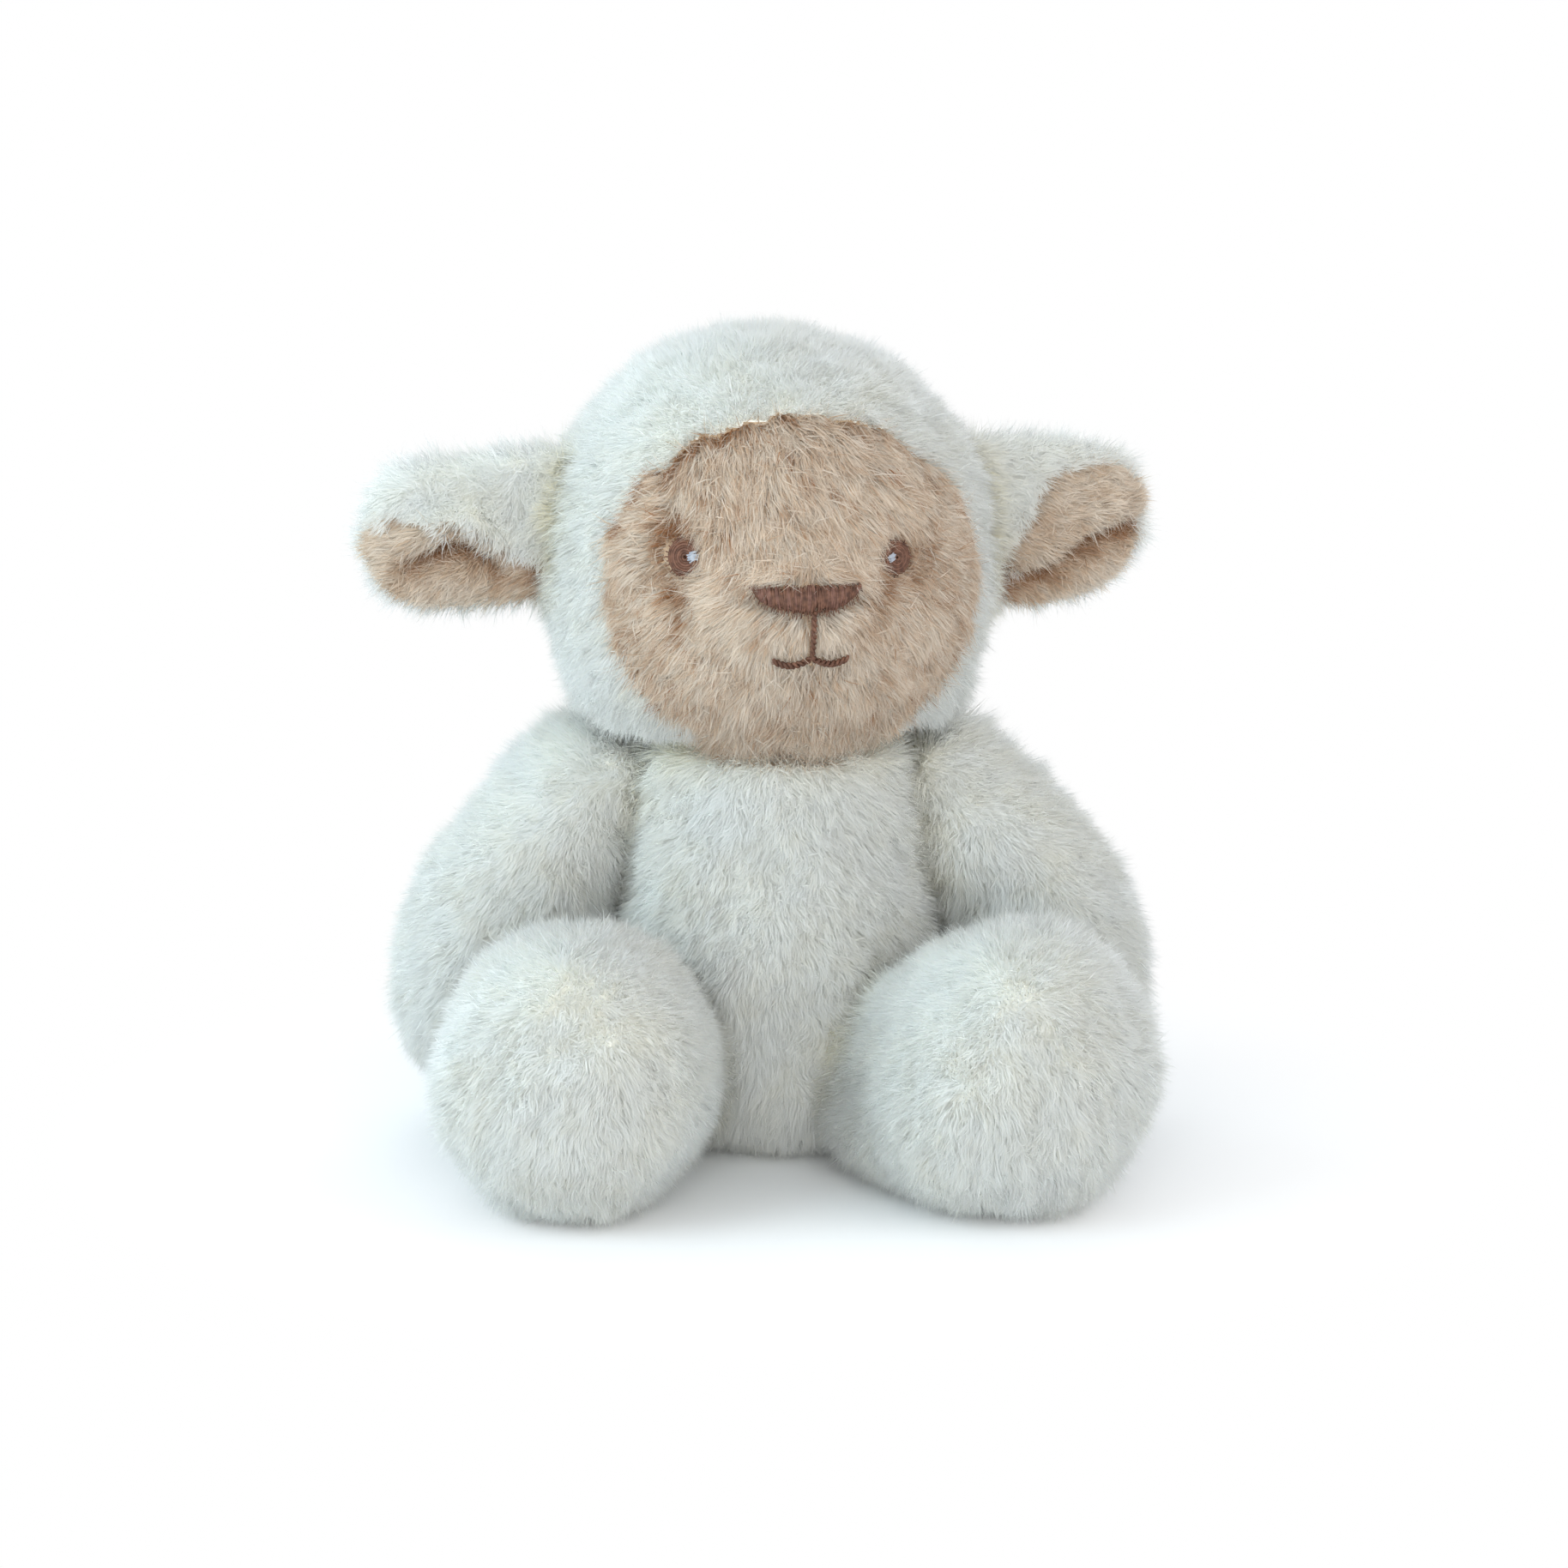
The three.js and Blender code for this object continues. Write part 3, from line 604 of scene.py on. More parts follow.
class Form:
    """A stuffed piece of the sheep, given as a closed surface over polar angle and turn."""

    name = body = filling = ""
    facets, rings = 72, 48
    lumps, lump_size = 0.8, 26.0
    seed = 1

    def surface(self, polar: Array, turn: Array, inset: float) -> Array:
        """Places on the form.

        Args:
            polar: 0 at the bottom or root to 1 at the top or tip.
            turn: angle round the form in radians.
            inset: how far inside the solid's surface.

        Returns:
            One place for each pair.
        """
        raise NotImplementedError

    def comb(self, points: Array) -> Array:
        """The direction in which the pile at each root is combed."""
        raise NotImplementedError

    def panels(self) -> list[Panel]:
        """The form's sewn panels."""
        raise NotImplementedError

    def panel_of(self, points: Array) -> Array:
        """The number of the panel that each root grows on."""
        raise NotImplementedError

    def adjust(self, strands: Strands) -> Strands:
        """Change lengths and tints before the strands grow."""
        return strands

    def trim(self, strands: Strands) -> Strands:
        """Cut grown strands where something else has to show."""
        return strands

    def tan_share(self, points: Array) -> Array:
        """Above 0 where the cloth under the pile is tan."""
        return np.full(len(points), -1.0)

    def shell(self, inset: float) -> bmesh.types.BMesh:
        """Shape the closed skin.

        Args:
            inset: how far inside the solid's surface.

        Returns:
            A bmesh in millimetres, which the caller frees.
        """
        shape = bmesh.new()
        bmesh.ops.create_uvsphere(shape, u_segments=self.facets, v_segments=self.rings, radius=1.0)
        ball = np.array([vert.co for vert in shape.verts])
        polar = np.arccos(np.clip(-ball[:, 2], -1, 1)) / math.pi
        places = self.surface(polar, np.arctan2(ball[:, 1], ball[:, 0]), inset)
        for vert, place in zip(shape.verts, places):
            vert.co = place
        bmesh.ops.remove_doubles(shape, verts=shape.verts, dist=0.001)
        bmesh.ops.recalc_face_normals(shape, faces=shape.faces)
        if shape.calc_volume(signed=True) < 0:
            bmesh.ops.reverse_faces(shape, faces=shape.faces)
        shape.normal_update()
        swell = waves(self.seed, self.lump_size, np.array([vert.co for vert in shape.verts])) * self.lumps
        for vert, push in zip(shape.verts, swell):
            vert.co += vert.normal * push
            vert.co.z = max(vert.co.z, FLOOR_CLEARANCE)
        shape.normal_update()
        return shape

    def build_skin(self) -> None:
        """Make the backing cloth and the wadding under it, and keep the skin's triangles for the pile."""
        skin = self.shell(SKIN_INSET)
        self.corners, self.normals, self.faces, self.tree = triangulated(skin)
        self.low, self.high = self.corners.min(axis=0), self.corners.max(axis=0)
        cloth = as_mesh(skin)
        skin.free()
        nodes = [panel.node for panel in self.panels()]
        add_piece(f"{self.name}_cloth", cloth, WHITE_BACKING, self.body, Slot.WHITE, *nodes)
        tan = self.tan_share(np.array([face.center for face in cloth.polygons]) / MM) > 0
        if tan.any():
            cloth.materials.append(material_of(TAN_BACKING))
            cloth.polygons.foreach_set("material_index", tan.astype(np.int32))
        if self.filling:
            inner = self.shell(WADDING_INSET)
            wad = add_piece(f"{self.name}_wadding", as_mesh(inner), WADDING, self.body, Slot.FILLING, self.filling)
            inner.free()

    def roots(self, density: float, rng: np.random.Generator) -> tuple[Array, Array]:
        """Spread roots evenly over the skin.

        Args:
            density: roots for each square millimetre.
            rng: source of the random draws.

        Returns:
            The roots and the skin's normals there.
        """
        a, b, c = (self.corners[self.faces[:, k]] for k in range(3))
        areas = np.linalg.norm(np.cross(b - a, c - a), axis=1) / 2
        total = int(areas.sum() * density)
        steps = (np.arange(total) + rng.random(total)) / total
        chosen = self.faces[np.searchsorted(np.cumsum(areas) / areas.sum(), steps)]
        u, v = np.sqrt(rng.random(total)), rng.random(total)
        weights = np.stack([1 - u, u * (1 - v), u * v], axis=1)[:, :, None]
        return (self.corners[chosen] * weights).sum(axis=1), unit((self.normals[chosen] * weights).sum(axis=1))

    def depth(self, points: Array, reach: float) -> Array:
        """How far points lie outside this form's skin.

        Args:
            points: places to measure.
            reach: no need to measure further than this.

        Returns:
            Distances, negative inside, and reach where it is further.
        """
        result = np.full(len(points), reach)
        close = np.all((points > self.low - reach) & (points < self.high + reach), axis=1)
        find = self.tree.find_nearest
        for row in np.flatnonzero(close):
            point = Vector(points[row])
            place, normal, _, distance = find(point)
            result[row] = min(reach, distance if (point - place).dot(normal) > 0 else -distance)
        return result

    def rooted(self, others: list["Form"], numbers: list[int], density: float, rng: np.random.Generator) -> Strands:
        """Root strands wherever no other form covers the skin, longer beside one and tinted yellower there as painted
        crease shade.

        Args:
            others: the forms that may press on this one.
            numbers: the panels that they grow on.
            density: strands for each square millimetre.
            rng: source of the random draws.

        Returns:
            Rooted strands with their combing and tint.
        """
        points, normals = self.roots(density, rng)
        wanted = np.isin(self.panel_of(points), numbers)
        points, normals = points[wanted], normals[wanted]
        gap = np.full(len(points), 12.0)
        for other in others:
            gap = np.minimum(gap, other.depth(points, 12.0))
        free = gap > -7.0
        points, normals, gap = points[free], normals[free], gap[free]
        # painted shade: pile close to another form is tinted yellower, as in the shade of a crease, and less where it
        # faces the back
        crease = 0.44 * bell((gap, 1.5, 6.0)) * (1 - 0.6 * smooth(-0.1, 0.5, normals[:, 1]))
        patches = waves(self.seed + 31, 30.0, points) * 0.05 + waves(self.seed + 32, 7.0, points) * 0.06
        shades = 0.09 + crease + patches + rng.normal(size=len(points)) * 0.08
        stretch = 1 + 0.4 * bell((gap, 4.0, 4.0)) + waves(self.seed + 33, 8.0, points) * 0.16
        return Strands(points, normals, self.comb(points), stretch, shades)

    def build_pile(self, others: list["Form"]) -> None:
        """Grow the pile of every panel; panels of one style are combed and gathered as one.

        Args:
            others: the forms that may press on this one.
        """
        panels = self.panels()
        rng = np.random.default_rng(self.seed + 100)
        for order, style in enumerate(dict.fromkeys(panel.style for panel in panels)):
            numbers = [number for number, panel in enumerate(panels) if panel.style == style]
            grower = PileGrower(style, self.seed * 50 + order)
            kinds = []
            for fine, density in ((False, style.density), (True, style.fine_density)):
                strands = self.rooted(others, numbers, density, rng)
                strands.lengths = strands.lengths * style.length
                kinds.append(self.trim(grower.grow(self.adjust(strands), fine)))
            places = [self.panel_of(strands.roots) for strands in kinds]
            for number in numbers:
                panel = panels[number]
                mesh = grower.mesh(*(strands.only(place == number) for strands, place in zip(kinds, places)))
                add_piece(f"{panel.node}_pile", mesh, PILES[panel.slot], self.body, panel.slot, panel.node)


@dataclass(frozen=True)
class NeckDome:
    """The dome of the torso on which the head turns."""

    x: float = -3.5
    top: float = 121.0
    radius: float = 96.0

    def height(self, x: Array, y: Array) -> Array:
        """The dome's height over a place measured from its own axis."""
        away = np.minimum(x * x + y * y, (0.86 * self.radius) ** 2)
        return self.top - self.radius + np.sqrt(self.radius**2 - away)


DOME = NeckDome()


@dataclass
class Torso(Form):
    """The pear-shaped body with its flat seat."""

    name, body, filling, seed = "torso", "torso", "body_filling", 11
    facets, rings = 96, 60
    swells = [(0, 0.78), (0.05, 0.93), (0.16, 1), (0.38, 0.99), (0.6, 0.91), (0.78, 0.84), (0.9, 0.79), (1, 0.75)]
    outline = Outline(*swells)

    height: float = 124.0
    half_width: float = 50.0
    front: float = 50.0
    back: float = 46.0
    seat_half_width: float = 34.0
    seat_half_depth: float = 33.0
    floor: float = 0.12  # the shares of the polar angle that close the seat and the neck
    lid: float = 0.08

    def surface(self, polar: Array, turn: Array, inset: float) -> Array:
        """Places on the torso, whose top is the neck's dome with a collar round it.

        Args:
            polar: 0 at the bottom or root to 1 at the top or tip.
            turn: angle round the form in radians.
            inset: how far inside the solid's surface.

        Returns:
            One place for each pair.
        """
        place = np.clip((polar - self.floor) / (1 - self.floor - self.lid), 0, 1)
        close = np.minimum(np.clip(polar / self.floor, 0, 1), np.clip((1 - polar) / self.lid, 0, 1))
        share = self.outline.at(place)
        depth = np.where(np.sin(turn) < 0, self.front, self.back)
        x = (self.half_width * share - inset) * close * np.cos(turn)
        y = (depth * share - inset) * close * np.sin(turn)
        z = inset + place * (self.height + 5.0 - inset)
        y = y - 3.0 * bell((z, 108, 16)) * smooth(0, -20, y)
        collar = 5.5 * smooth(27.0, 36.0, np.hypot(x - DOME.x, y))
        return np.stack([x, y, np.minimum(z, DOME.height(x - DOME.x, y) - inset + collar)], axis=1)

    def comb(self, points: Array) -> Array:
        """Down, and a little outwards from the middle of the tummy."""
        return np.stack([points[:, 0] / 50.0 * 0.25, np.zeros(len(points)), np.full(len(points), -1.0)], axis=1)

    def panels(self) -> list[Panel]:
        """Tummy, both halves of the back, and the seat."""
        long = [Panel(name) for name in ("tummy_panel", "back_left_panel", "back_right_panel")]
        return [*long, Panel("seat_panel", PileStyle(5.5))]

    def panel_of(self, points: Array) -> Array:
        """The seat under the torso, the tummy in front and the back's halves behind.

        Args:
            points: the pile's roots.

        Returns:
            The panel's number for each root.
        """
        x, y, z = points.T
        seat = (z < 8.0) & ((x / self.seat_half_width) ** 2 + (y / self.seat_half_depth) ** 2 < 1)
        return np.where(seat, 3, np.where(y < 0, 0, np.where(x < 0, 1, 2)))


@dataclass
class Head(Form):
    """The round head with its tan face in a white hood; face places are measured from its centre."""

    name, body, filling, seed = "head", "head", "head_filling", 23
    facets, rings, lumps = 120, 84, 0.5

    centre: float = 173.0
    forward: float = 7.0
    turned: float = 10.0
    half_width: float = 63.0
    half_height: float = 61.0
    front: float = 56.0
    back: float = 53.0
    face_drop: float = 5.0
    face_half_width: float = 52.0
    face_half_height: float = 45.0
    eyes: tuple[tuple[float, float], ...] = ((-31.0, 3.0), (27.0, 2.0))
    eye_halves: tuple[tuple[float, float], ...] = ((4.3, 4.9), (4.0, 4.3))
    mouth_x: float = 1.3

    def __post_init__(self) -> None:
        """Set the head's turn."""
        cos, sin = math.cos(math.radians(self.turned)), math.sin(math.radians(self.turned))
        self.spin = np.array([[cos, -sin, 0], [sin, cos, 0], [0, 0, 1]])

    def to_world(self, points: Array) -> Array:
        """Turn places from the head's own frame into the sheep's."""
        return points @ self.spin.T + (DOME.x, 0, 0)

    def to_own(self, points: Array) -> Array:
        """Turn places from the sheep's frame into the head's own."""
        return (points - (DOME.x, 0, 0)) @ self.spin

    def measured(self, points: Array) -> tuple[Array, Array, Array]:
        """Places in the head's own frame, how far right of its middle, and how high above its centre."""
        own = self.to_own(points)
        return own, own[:, 0], own[:, 2] - self.centre

    def surface(self, polar: Array, turn: Array, inset: float) -> Array:
        """Places on the head: a round form with a muzzle, eye sockets and cheek folds.

        Args:
            polar: 0 at the bottom or root to 1 at the top or tip.
            turn: angle round the form in radians.
            inset: how far inside the solid's surface.

        Returns:
            One place for each pair.
        """
        rise = -np.cos(math.pi * polar)
        power = np.where(rise < 0, 3.0, 2.0)
        spread = np.maximum(1 - np.abs(rise) ** power, 0) ** (1 / power)
        depth = np.where(np.sin(turn) < 0, self.front, self.back)
        x = (self.half_width - inset) * spread * np.cos(turn)
        y = (depth - inset) * spread * np.sin(turn)
        z = self.centre + rise * (self.half_height - inset)
        high = z - self.centre
        swell = 9.0 * bell((x, 0, 25), (high, -12, 21))
        for eye_x, eye_z in self.eyes:
            swell = swell - 2.6 * bell((x, eye_x, 8.5), (high, eye_z, 8.5))
        swell = swell - 1.5 * bell((x, 22.0, 3.5)) * smooth(-26, -8, high) * smooth(40, 24, high)
        ridge = bell((x, -22.5, 4.0)) - 0.8 * bell((x, -30.0, 3.6))
        swell = swell + 2.4 * ridge * smooth(-24, -10, high) * smooth(30, 14, high)
        y = y - self.forward - swell * smooth(0.0, 12.0, -y)
        z = z - 2.6 * bell((x, 24, 17)) * smooth(36, 58, high)
        x = x - 2.6 * smooth(14, 44, x) * bell((high, 40, 13))
        z = np.maximum(z, DOME.height(x, y) + 0.6 + inset)
        return self.to_world(np.stack([x, y, z], axis=1))

    def in_face(self, own: Array) -> Array:
        """How deep places in the head's own frame lie in the tan oval: above 0 inside, 1 at its middle.

        Args:
            own: places in the head's own frame.

        Returns:
            One depth for each place.
        """
        x, y, z = own.T
        high = z - self.centre + self.face_drop
        wide = np.where(x < 0, self.face_half_width - 3.5, self.face_half_width)
        away = np.hypot(x / wide, high / np.where(high < 0, self.face_half_height + 3.0, self.face_half_height))
        return np.where(y < 0, 1 - away + waves(77, 9.0, own) * 0.02, -1.0)

    def tan_share(self, points: Array) -> Array:
        """Above 0 inside the face's oval."""
        return self.in_face(self.to_own(points))

    def comb(self, points: Array) -> Array:
        """Down over the hood and forehead, outwards from the nose over the cheeks and chin.

        Args:
            points: the pile's roots.

        Returns:
            One direction for each root.
        """
        own, x, high = self.measured(points)
        none, down = np.zeros(len(x)), np.full(len(x), -1.0)
        face = smooth(-0.02, 0.05, self.in_face(own))[:, None]
        hood = np.stack([x / 90, np.where(own[:, 1] < 0, -0.1, 0.2), down], axis=1)
        crown = (smooth(26.0, 54.0, high) * smooth(40.0, 16.0, own[:, 1]))[:, None]
        hood = hood * (1 - crown) + np.stack([x / 110, down, down * 0.3], axis=1) * crown
        lean = 0.06 + 0.5 * smooth(-20.0, 26.0, x) * smooth(-8.0, 14.0, high)
        brow = np.stack([lean, none, down], axis=1)
        round_nose = unit(np.stack([x, none, high + 6.0], axis=1))
        round_nose[:, 2] -= 0.55
        beyond = np.maximum(x - 24.0, 0) + np.maximum(-27.0 - x, 0) * 4.0
        share = smooth(8.0, -6.0, high - beyond * 0.9)[:, None]
        tan = brow * (1 - share) + unit(round_nose) * share
        return (hood * (1 - face) + tan * face) @ self.spin.T

    def panels(self) -> list[Panel]:
        """Forehead and cheeks in tan, both halves of the hood in white.

        Returns:
            The panels, in the order of their numbers.
        """
        tan = {"swirl_size": 16.0, "stray": 0.1, "mottle": 0.2, "soft": 0.66}
        brow = PileStyle(9.5, 2.8, 7.5, 0.36, 0.26, 38, 8, 20, tuft=2.3, lock=7.0, swirl=0.2, **tan)
        cheek = PileStyle(8.5, 2.8, 7.5, 0.36, 0.26, 42, 10, 22, tuft=2.2, lock=6.5, swirl=0.26, **tan)
        cheeks = [Panel(f"cheek_{side.word}_panel", cheek, Slot.TAN) for side in Side]
        hood = [Panel(f"hood_{side.word}_panel", PileStyle(7.3)) for side in Side]
        return [Panel("forehead_panel", brow, Slot.TAN), *cheeks, *hood]

    def panel_of(self, points: Array) -> Array:
        """The forehead between the cheeks, and the hood round them.

        Args:
            points: the pile's roots.

        Returns:
            The panel's number for each root.
        """
        own, x, high = self.measured(points)
        t = 1 - np.sqrt(np.clip((high + 12.5) / 15.5, 0, 1))
        brow = (np.abs(x) < 25 * (1 - t) ** 2 + 50 * t * (1 - t) + 18 * t * t) & (high > -12.5)
        right = (x > 0).astype(int)
        return np.where(self.in_face(own) > 0, np.where(brow, 0, 1 + right), 3 + right)

    def adjust(self, strands: Strands) -> Strands:
        """Shape the pile of the face, or that of the hood.

        Args:
            strands: rooted strands, changed in place.

        Returns:
            The same strands.
        """
        own, x, high = self.measured(strands.roots)
        face = self.in_face(own)
        if face.max(initial=-1) > 0:
            self._adjust_face(strands, own, face)
        else:
            chin = smooth(-42.0, -50.0, high) * smooth(52.0, 38.0, np.abs(x)) * smooth(8.0, -8.0, own[:, 1])
            hem, rim = smooth(-0.10, 0.0, face), smooth(-28.0, -46.0, high)
            strands.lengths = strands.lengths * (1 - 0.25 * hem) * (1 + 0.35 * rim) * (1 - 0.7 * chin)
        return strands

    def _adjust_face(self, strands: Strands, own: Array, face: Array) -> None:
        """Shorten the pile round the eyes, nose and mouth, draw the browner streaks of the face, and paint shade along
        the seam, in the creases and in the left eye's socket.

        Args:
            strands: rooted strands, changed in place.
            own: their roots in the head's own frame.
            face: how deep these lie in the face's oval.
        """
        x, high = own[:, 0], own[:, 2] - self.centre
        near_mouth = bell((x, 0, 17), (high, -18, 10))
        chin = smooth(-34.0, -48.0, high)
        top = bell((face, 0, 0.06)) * smooth(0, 20, high)
        strands.lengths = strands.lengths * (1 - 0.3 * near_mouth) * (1 + 0.25 * chin) * (1 - 0.3 * top)
        # painted shadow along the face's seam under the hood's edge, strongest at the top left
        seam = bell((face, 0, 0.05)) * (0.3 + 1.0 * smooth(14, -26, x) * smooth(-2, 16, high))
        slant = own @ np.array([[1.0, 0, -0.1], [0, 1.0, 0], [0.3, 0, 0.22]]).T
        streaks = waves(91, 5.0, slant) * 0.12 + waves(93, 2.6, slant) * 0.10 + waves(92, 17.0, own) * 0.04
        # painted shade in the right cheek's crease, in the socket above the left eye and in the fold beside the ridge
        crease = bell((x - 19.5 - 0.25 * np.minimum(high, 0), 0, 2.6)) * smooth(-22, -10, high)
        socket_shade = bell((x, -30.5, 3.4), (high, 11.5, 5.5))
        fold = bell((x, -29.5, 2.0)) * smooth(-24, -12, high) * smooth(22, 14, high)
        strands.shades = strands.shades + streaks + 0.6 * seam + 0.5 * crease * smooth(8, -2, high)
        strands.shades = strands.shades + 0.8 * socket_shade + 0.55 * fold - 0.16 * near_mouth
        for eye_x, eye_z in self.eyes:
            away = np.hypot(x - eye_x, high - eye_z)
            outer = smooth(-2.0, 2.0, (x - eye_x) * math.copysign(1.0, eye_x))
            short = (0.25 + 0.3 * outer) * bell((np.maximum(away - 5, 0), 0, 3.5))
            strands.lengths = strands.lengths * (1 - short)
            strands.shades = strands.shades + (0.1 + 0.3 * outer) * bell((np.maximum(away - 6, 0), 0, 3.0))

    def embroidered(self, points: Array, share: float, inner: Array) -> Array:
        """Whether places lie on the embroidery.

        Args:
            points: places on the face.
            share: share of each shape's size that counts.
            inner: how far each place's strand may cross the shapes from above or from the nose's side.

        Returns:
            True where thread has to show.
        """
        own, x, high = self.measured(points)
        hit = np.zeros(len(own), dtype=bool)
        for (eye_x, eye_z), (wide, tall) in zip(self.eyes, self.eye_halves):
            off = (x - eye_x) * math.copysign(1.0, eye_x) - inner * 2.6
            hit |= (off / (wide * share - inner * 0.8)) ** 2 + ((high - eye_z) / (tall * share)) ** 2 < 1
        across = np.abs(x) / (Embroidery.nose_half * share)
        low = -3.6 - 6.4 * share * np.sqrt(np.clip(1 - across**2, 0, 1))
        tuft = inner * (1.2 + 1.8 * bell((x, -1.0, 4.0)))
        hit |= (across < 1) & (high < Embroidery.nose_top - tuft) & (high > low)
        side = np.abs(x - self.mouth_x)
        hit |= (side < 0.7 * share) & (high < -9.0) & (high > -23.5)
        arc = -23.3 - 2.1 * np.sin(np.minimum(side / Embroidery.mouth_half, 1) * math.pi * 0.86)
        hit |= (side < Embroidery.mouth_half * share) & (np.abs(high - arc) < 0.85 * share)
        return hit & (own[:, 1] < 0)

    def trim(self, strands: Strands) -> Strands:
        """Take away strands that grow under thread and shorten those that would hide it.

        Args:
            strands: grown strands.

        Returns:
            The strands that stay.
        """
        strands = strands.only(~self.embroidered(strands.roots, 1.0, np.zeros(len(strands.roots))))
        _, x, high = self.measured(strands.roots)
        inner = ((np.abs(x) < 29.0) & (high > -3.0) | (high > -4.5) & (np.abs(x) < 20.0)).astype(float)
        inner *= np.random.default_rng(self.seed + 9).uniform(0.2, 1.1, size=len(inner))
        for _ in range(3):
            hides = self.embroidered(strands.tips, 0.92, inner) | self.embroidered(strands.middles, 0.92, inner)
            keep = np.where(hides, 0.66, 1.0)[:, None]
            strands.tips = strands.roots + (strands.tips - strands.roots) * keep
            strands.middles = strands.roots + (strands.middles - strands.roots) * keep
        return strands


@dataclass
class Ear(Form):
    """A flat leaf that stands out from the side of the head, with a hollow tan lining.

    A place in its own leaf frame is outwards from the root, backwards, and upwards from the middle.
    """

    facets, rings, lumps, lump_size = 96, 56, 0.35, 18.0
    thicknesses = Outline((0.02, 0.7), (0.3, 0.86), (0.55, 1), (0.75, 0.95), (0.9, 0.62), (1, 0))
    above = Outline((0.02, 1.04), (0.3, 1.04), (0.55, 1.05), (0.75, 1.0), (0.9, 0.74), (1, 0))

    side: Side = Side.LEFT
    head: Head = field(default_factory=Head)
    root_x: float = 61.5
    middle: float = 180.0
    half_height: float = 23.0
    half_thickness: float = 8.5
    droop: float = 6.0
    cap: float = 0.06

    def __post_init__(self) -> None:
        """Set the names, the ear's outlines, and the lines of its hem and fold."""
        self.name = self.body = f"ear_{self.side.word}"
        self.seed = 41 + self.side.value
        # dark is how strongly painted shade darkens the hollow
        if self.side is Side.LEFT:
            self.length, self.hollow_depth, self.dark = 56.5, 6.0, 0.6
            self.reach = (9.0, 20.0, 36.0, 48.0)
            hem = [(0, -11), (7, -8), (14, -5), (21.5, 1.5), (29, 3), (36, 5.5), (43.5, 7.5), (50.5, 6.5), (57, 2)]
            fold = [(0, -12), (12, -8), (17, -4.5), (22, -0.5), (29, 0.8), (36, -0.6), (43, -3), (57, -6)]
            self.beneath = Outline((0.02, 0.82), (0.3, 1), (0.55, 1), (0.75, 0.9), (0.9, 0.62), (1, 0))
        else:
            self.length, self.hollow_depth, self.dark = 50.5, 4.0, 0.45
            self.reach = (0.0, 6.0, 38.0, 50.0)
            hem = [(0, -16), (6.5, -10.5), (9.6, -4.7), (12.6, 0.6), (14.8, 6), (17, 13), (24.5, 15), (34, 16.5)]
            hem += [(43, 15), (52, 8)]
            fold = [(0, -13), (6.4, -12.6), (14.6, -13), (20.7, -9.8), (24.4, -5.7), (30.6, -1.8), (36.8, 1.4)]
            fold += [(44.2, 3.9), (52, 5)]
            self.beneath = Outline((0.02, 1.16), (0.3, 1.3), (0.55, 1.17), (0.75, 0.94), (0.9, 0.62), (1, 0))
        self.hem, self.fold = np.array(hem, dtype=float).T, np.array(fold, dtype=float).T
        angle = math.radians(self.side.value * self.droop)
        cos, sin = math.cos(angle), math.sin(angle)
        self.hang = np.array([[cos, 0, sin], [0, 1, 0], [-sin, 0, cos]])
        self.mirror = (self.side.value, 1, 1)
        self.place = (self.side.value * self.root_x, -self.head.forward, self.middle)

    def to_leaf(self, points: Array) -> Array:
        """Turn places from the sheep's frame into the ear's own leaf frame."""
        return ((self.head.to_own(points) - self.place) @ self.hang) * self.mirror

    def lining_share(self, leaf: Array) -> Array:
        """How far places lie on the lining's side of the seam."""
        ragged = waves(self.seed + 3, 4.5, leaf) * 1.2
        return np.minimum(np.interp(leaf[:, 0], *self.hem) + ragged - leaf[:, 2], -0.5 - leaf[:, 1])

    def folded(self, x: Array, z: Array) -> tuple[Array, Array, Array]:
        """Measure places against the lining's fold.

        Args:
            x: outwards from the ear's root.
            z: upwards from its middle.

        Returns:
            How far they lie below it, how open it is beside them, and their share of the hollow's depth.
        """
        first, full, fading, last = self.reach
        below = np.interp(x, *self.fold) - z
        opening = smooth(first, full, x) * smooth(last, fading, x)
        return below, opening, opening * smooth(-1.2, 1.6, below) * bell((np.maximum(below, 0), 0, 6.5))

    def surface(self, polar: Array, turn: Array, inset: float) -> Array:
        """Places on the ear, with its hollow pressed into the lining.

        Args:
            polar: 0 at the bottom or root to 1 at the top or tip.
            turn: angle round the form in radians.
            inset: how far inside the solid's surface.

        Returns:
            One place for each pair.
        """
        place = 0.02 + 0.98 * (1 - (1 - np.clip((polar - self.cap) / (1 - self.cap), 0, 1)) ** 1.35)
        close = np.clip(polar / self.cap, 0, 1)
        thick = (self.half_thickness - inset * 0.62) * np.maximum(self.thicknesses.at(place), 0.0)
        share = np.where(np.sin(turn) > 0, self.above.at(place), self.beneath.at(place))
        tall = (self.half_height - inset) * np.maximum(share, 0.0)
        x = place * (self.length - inset) - 7.5 * (1 - place) ** 3
        y = thick * close * np.cos(turn)
        z = tall * close * np.sin(turn)
        below, opening, hollow = self.folded(x, z)
        lip = bell((below, -4.2, 3.6)) * opening
        y = np.where(np.cos(turn) < 0, y + hollow * self.hollow_depth - lip * 2.4, y + hollow * 2.4)
        out = np.stack([x, y, z], axis=1) * self.mirror @ self.hang.T
        return self.head.to_world(out + self.place)

    def tan_share(self, points: Array) -> Array:
        """Above 0 on the lining's side of the seam."""
        return self.lining_share(self.to_leaf(points))

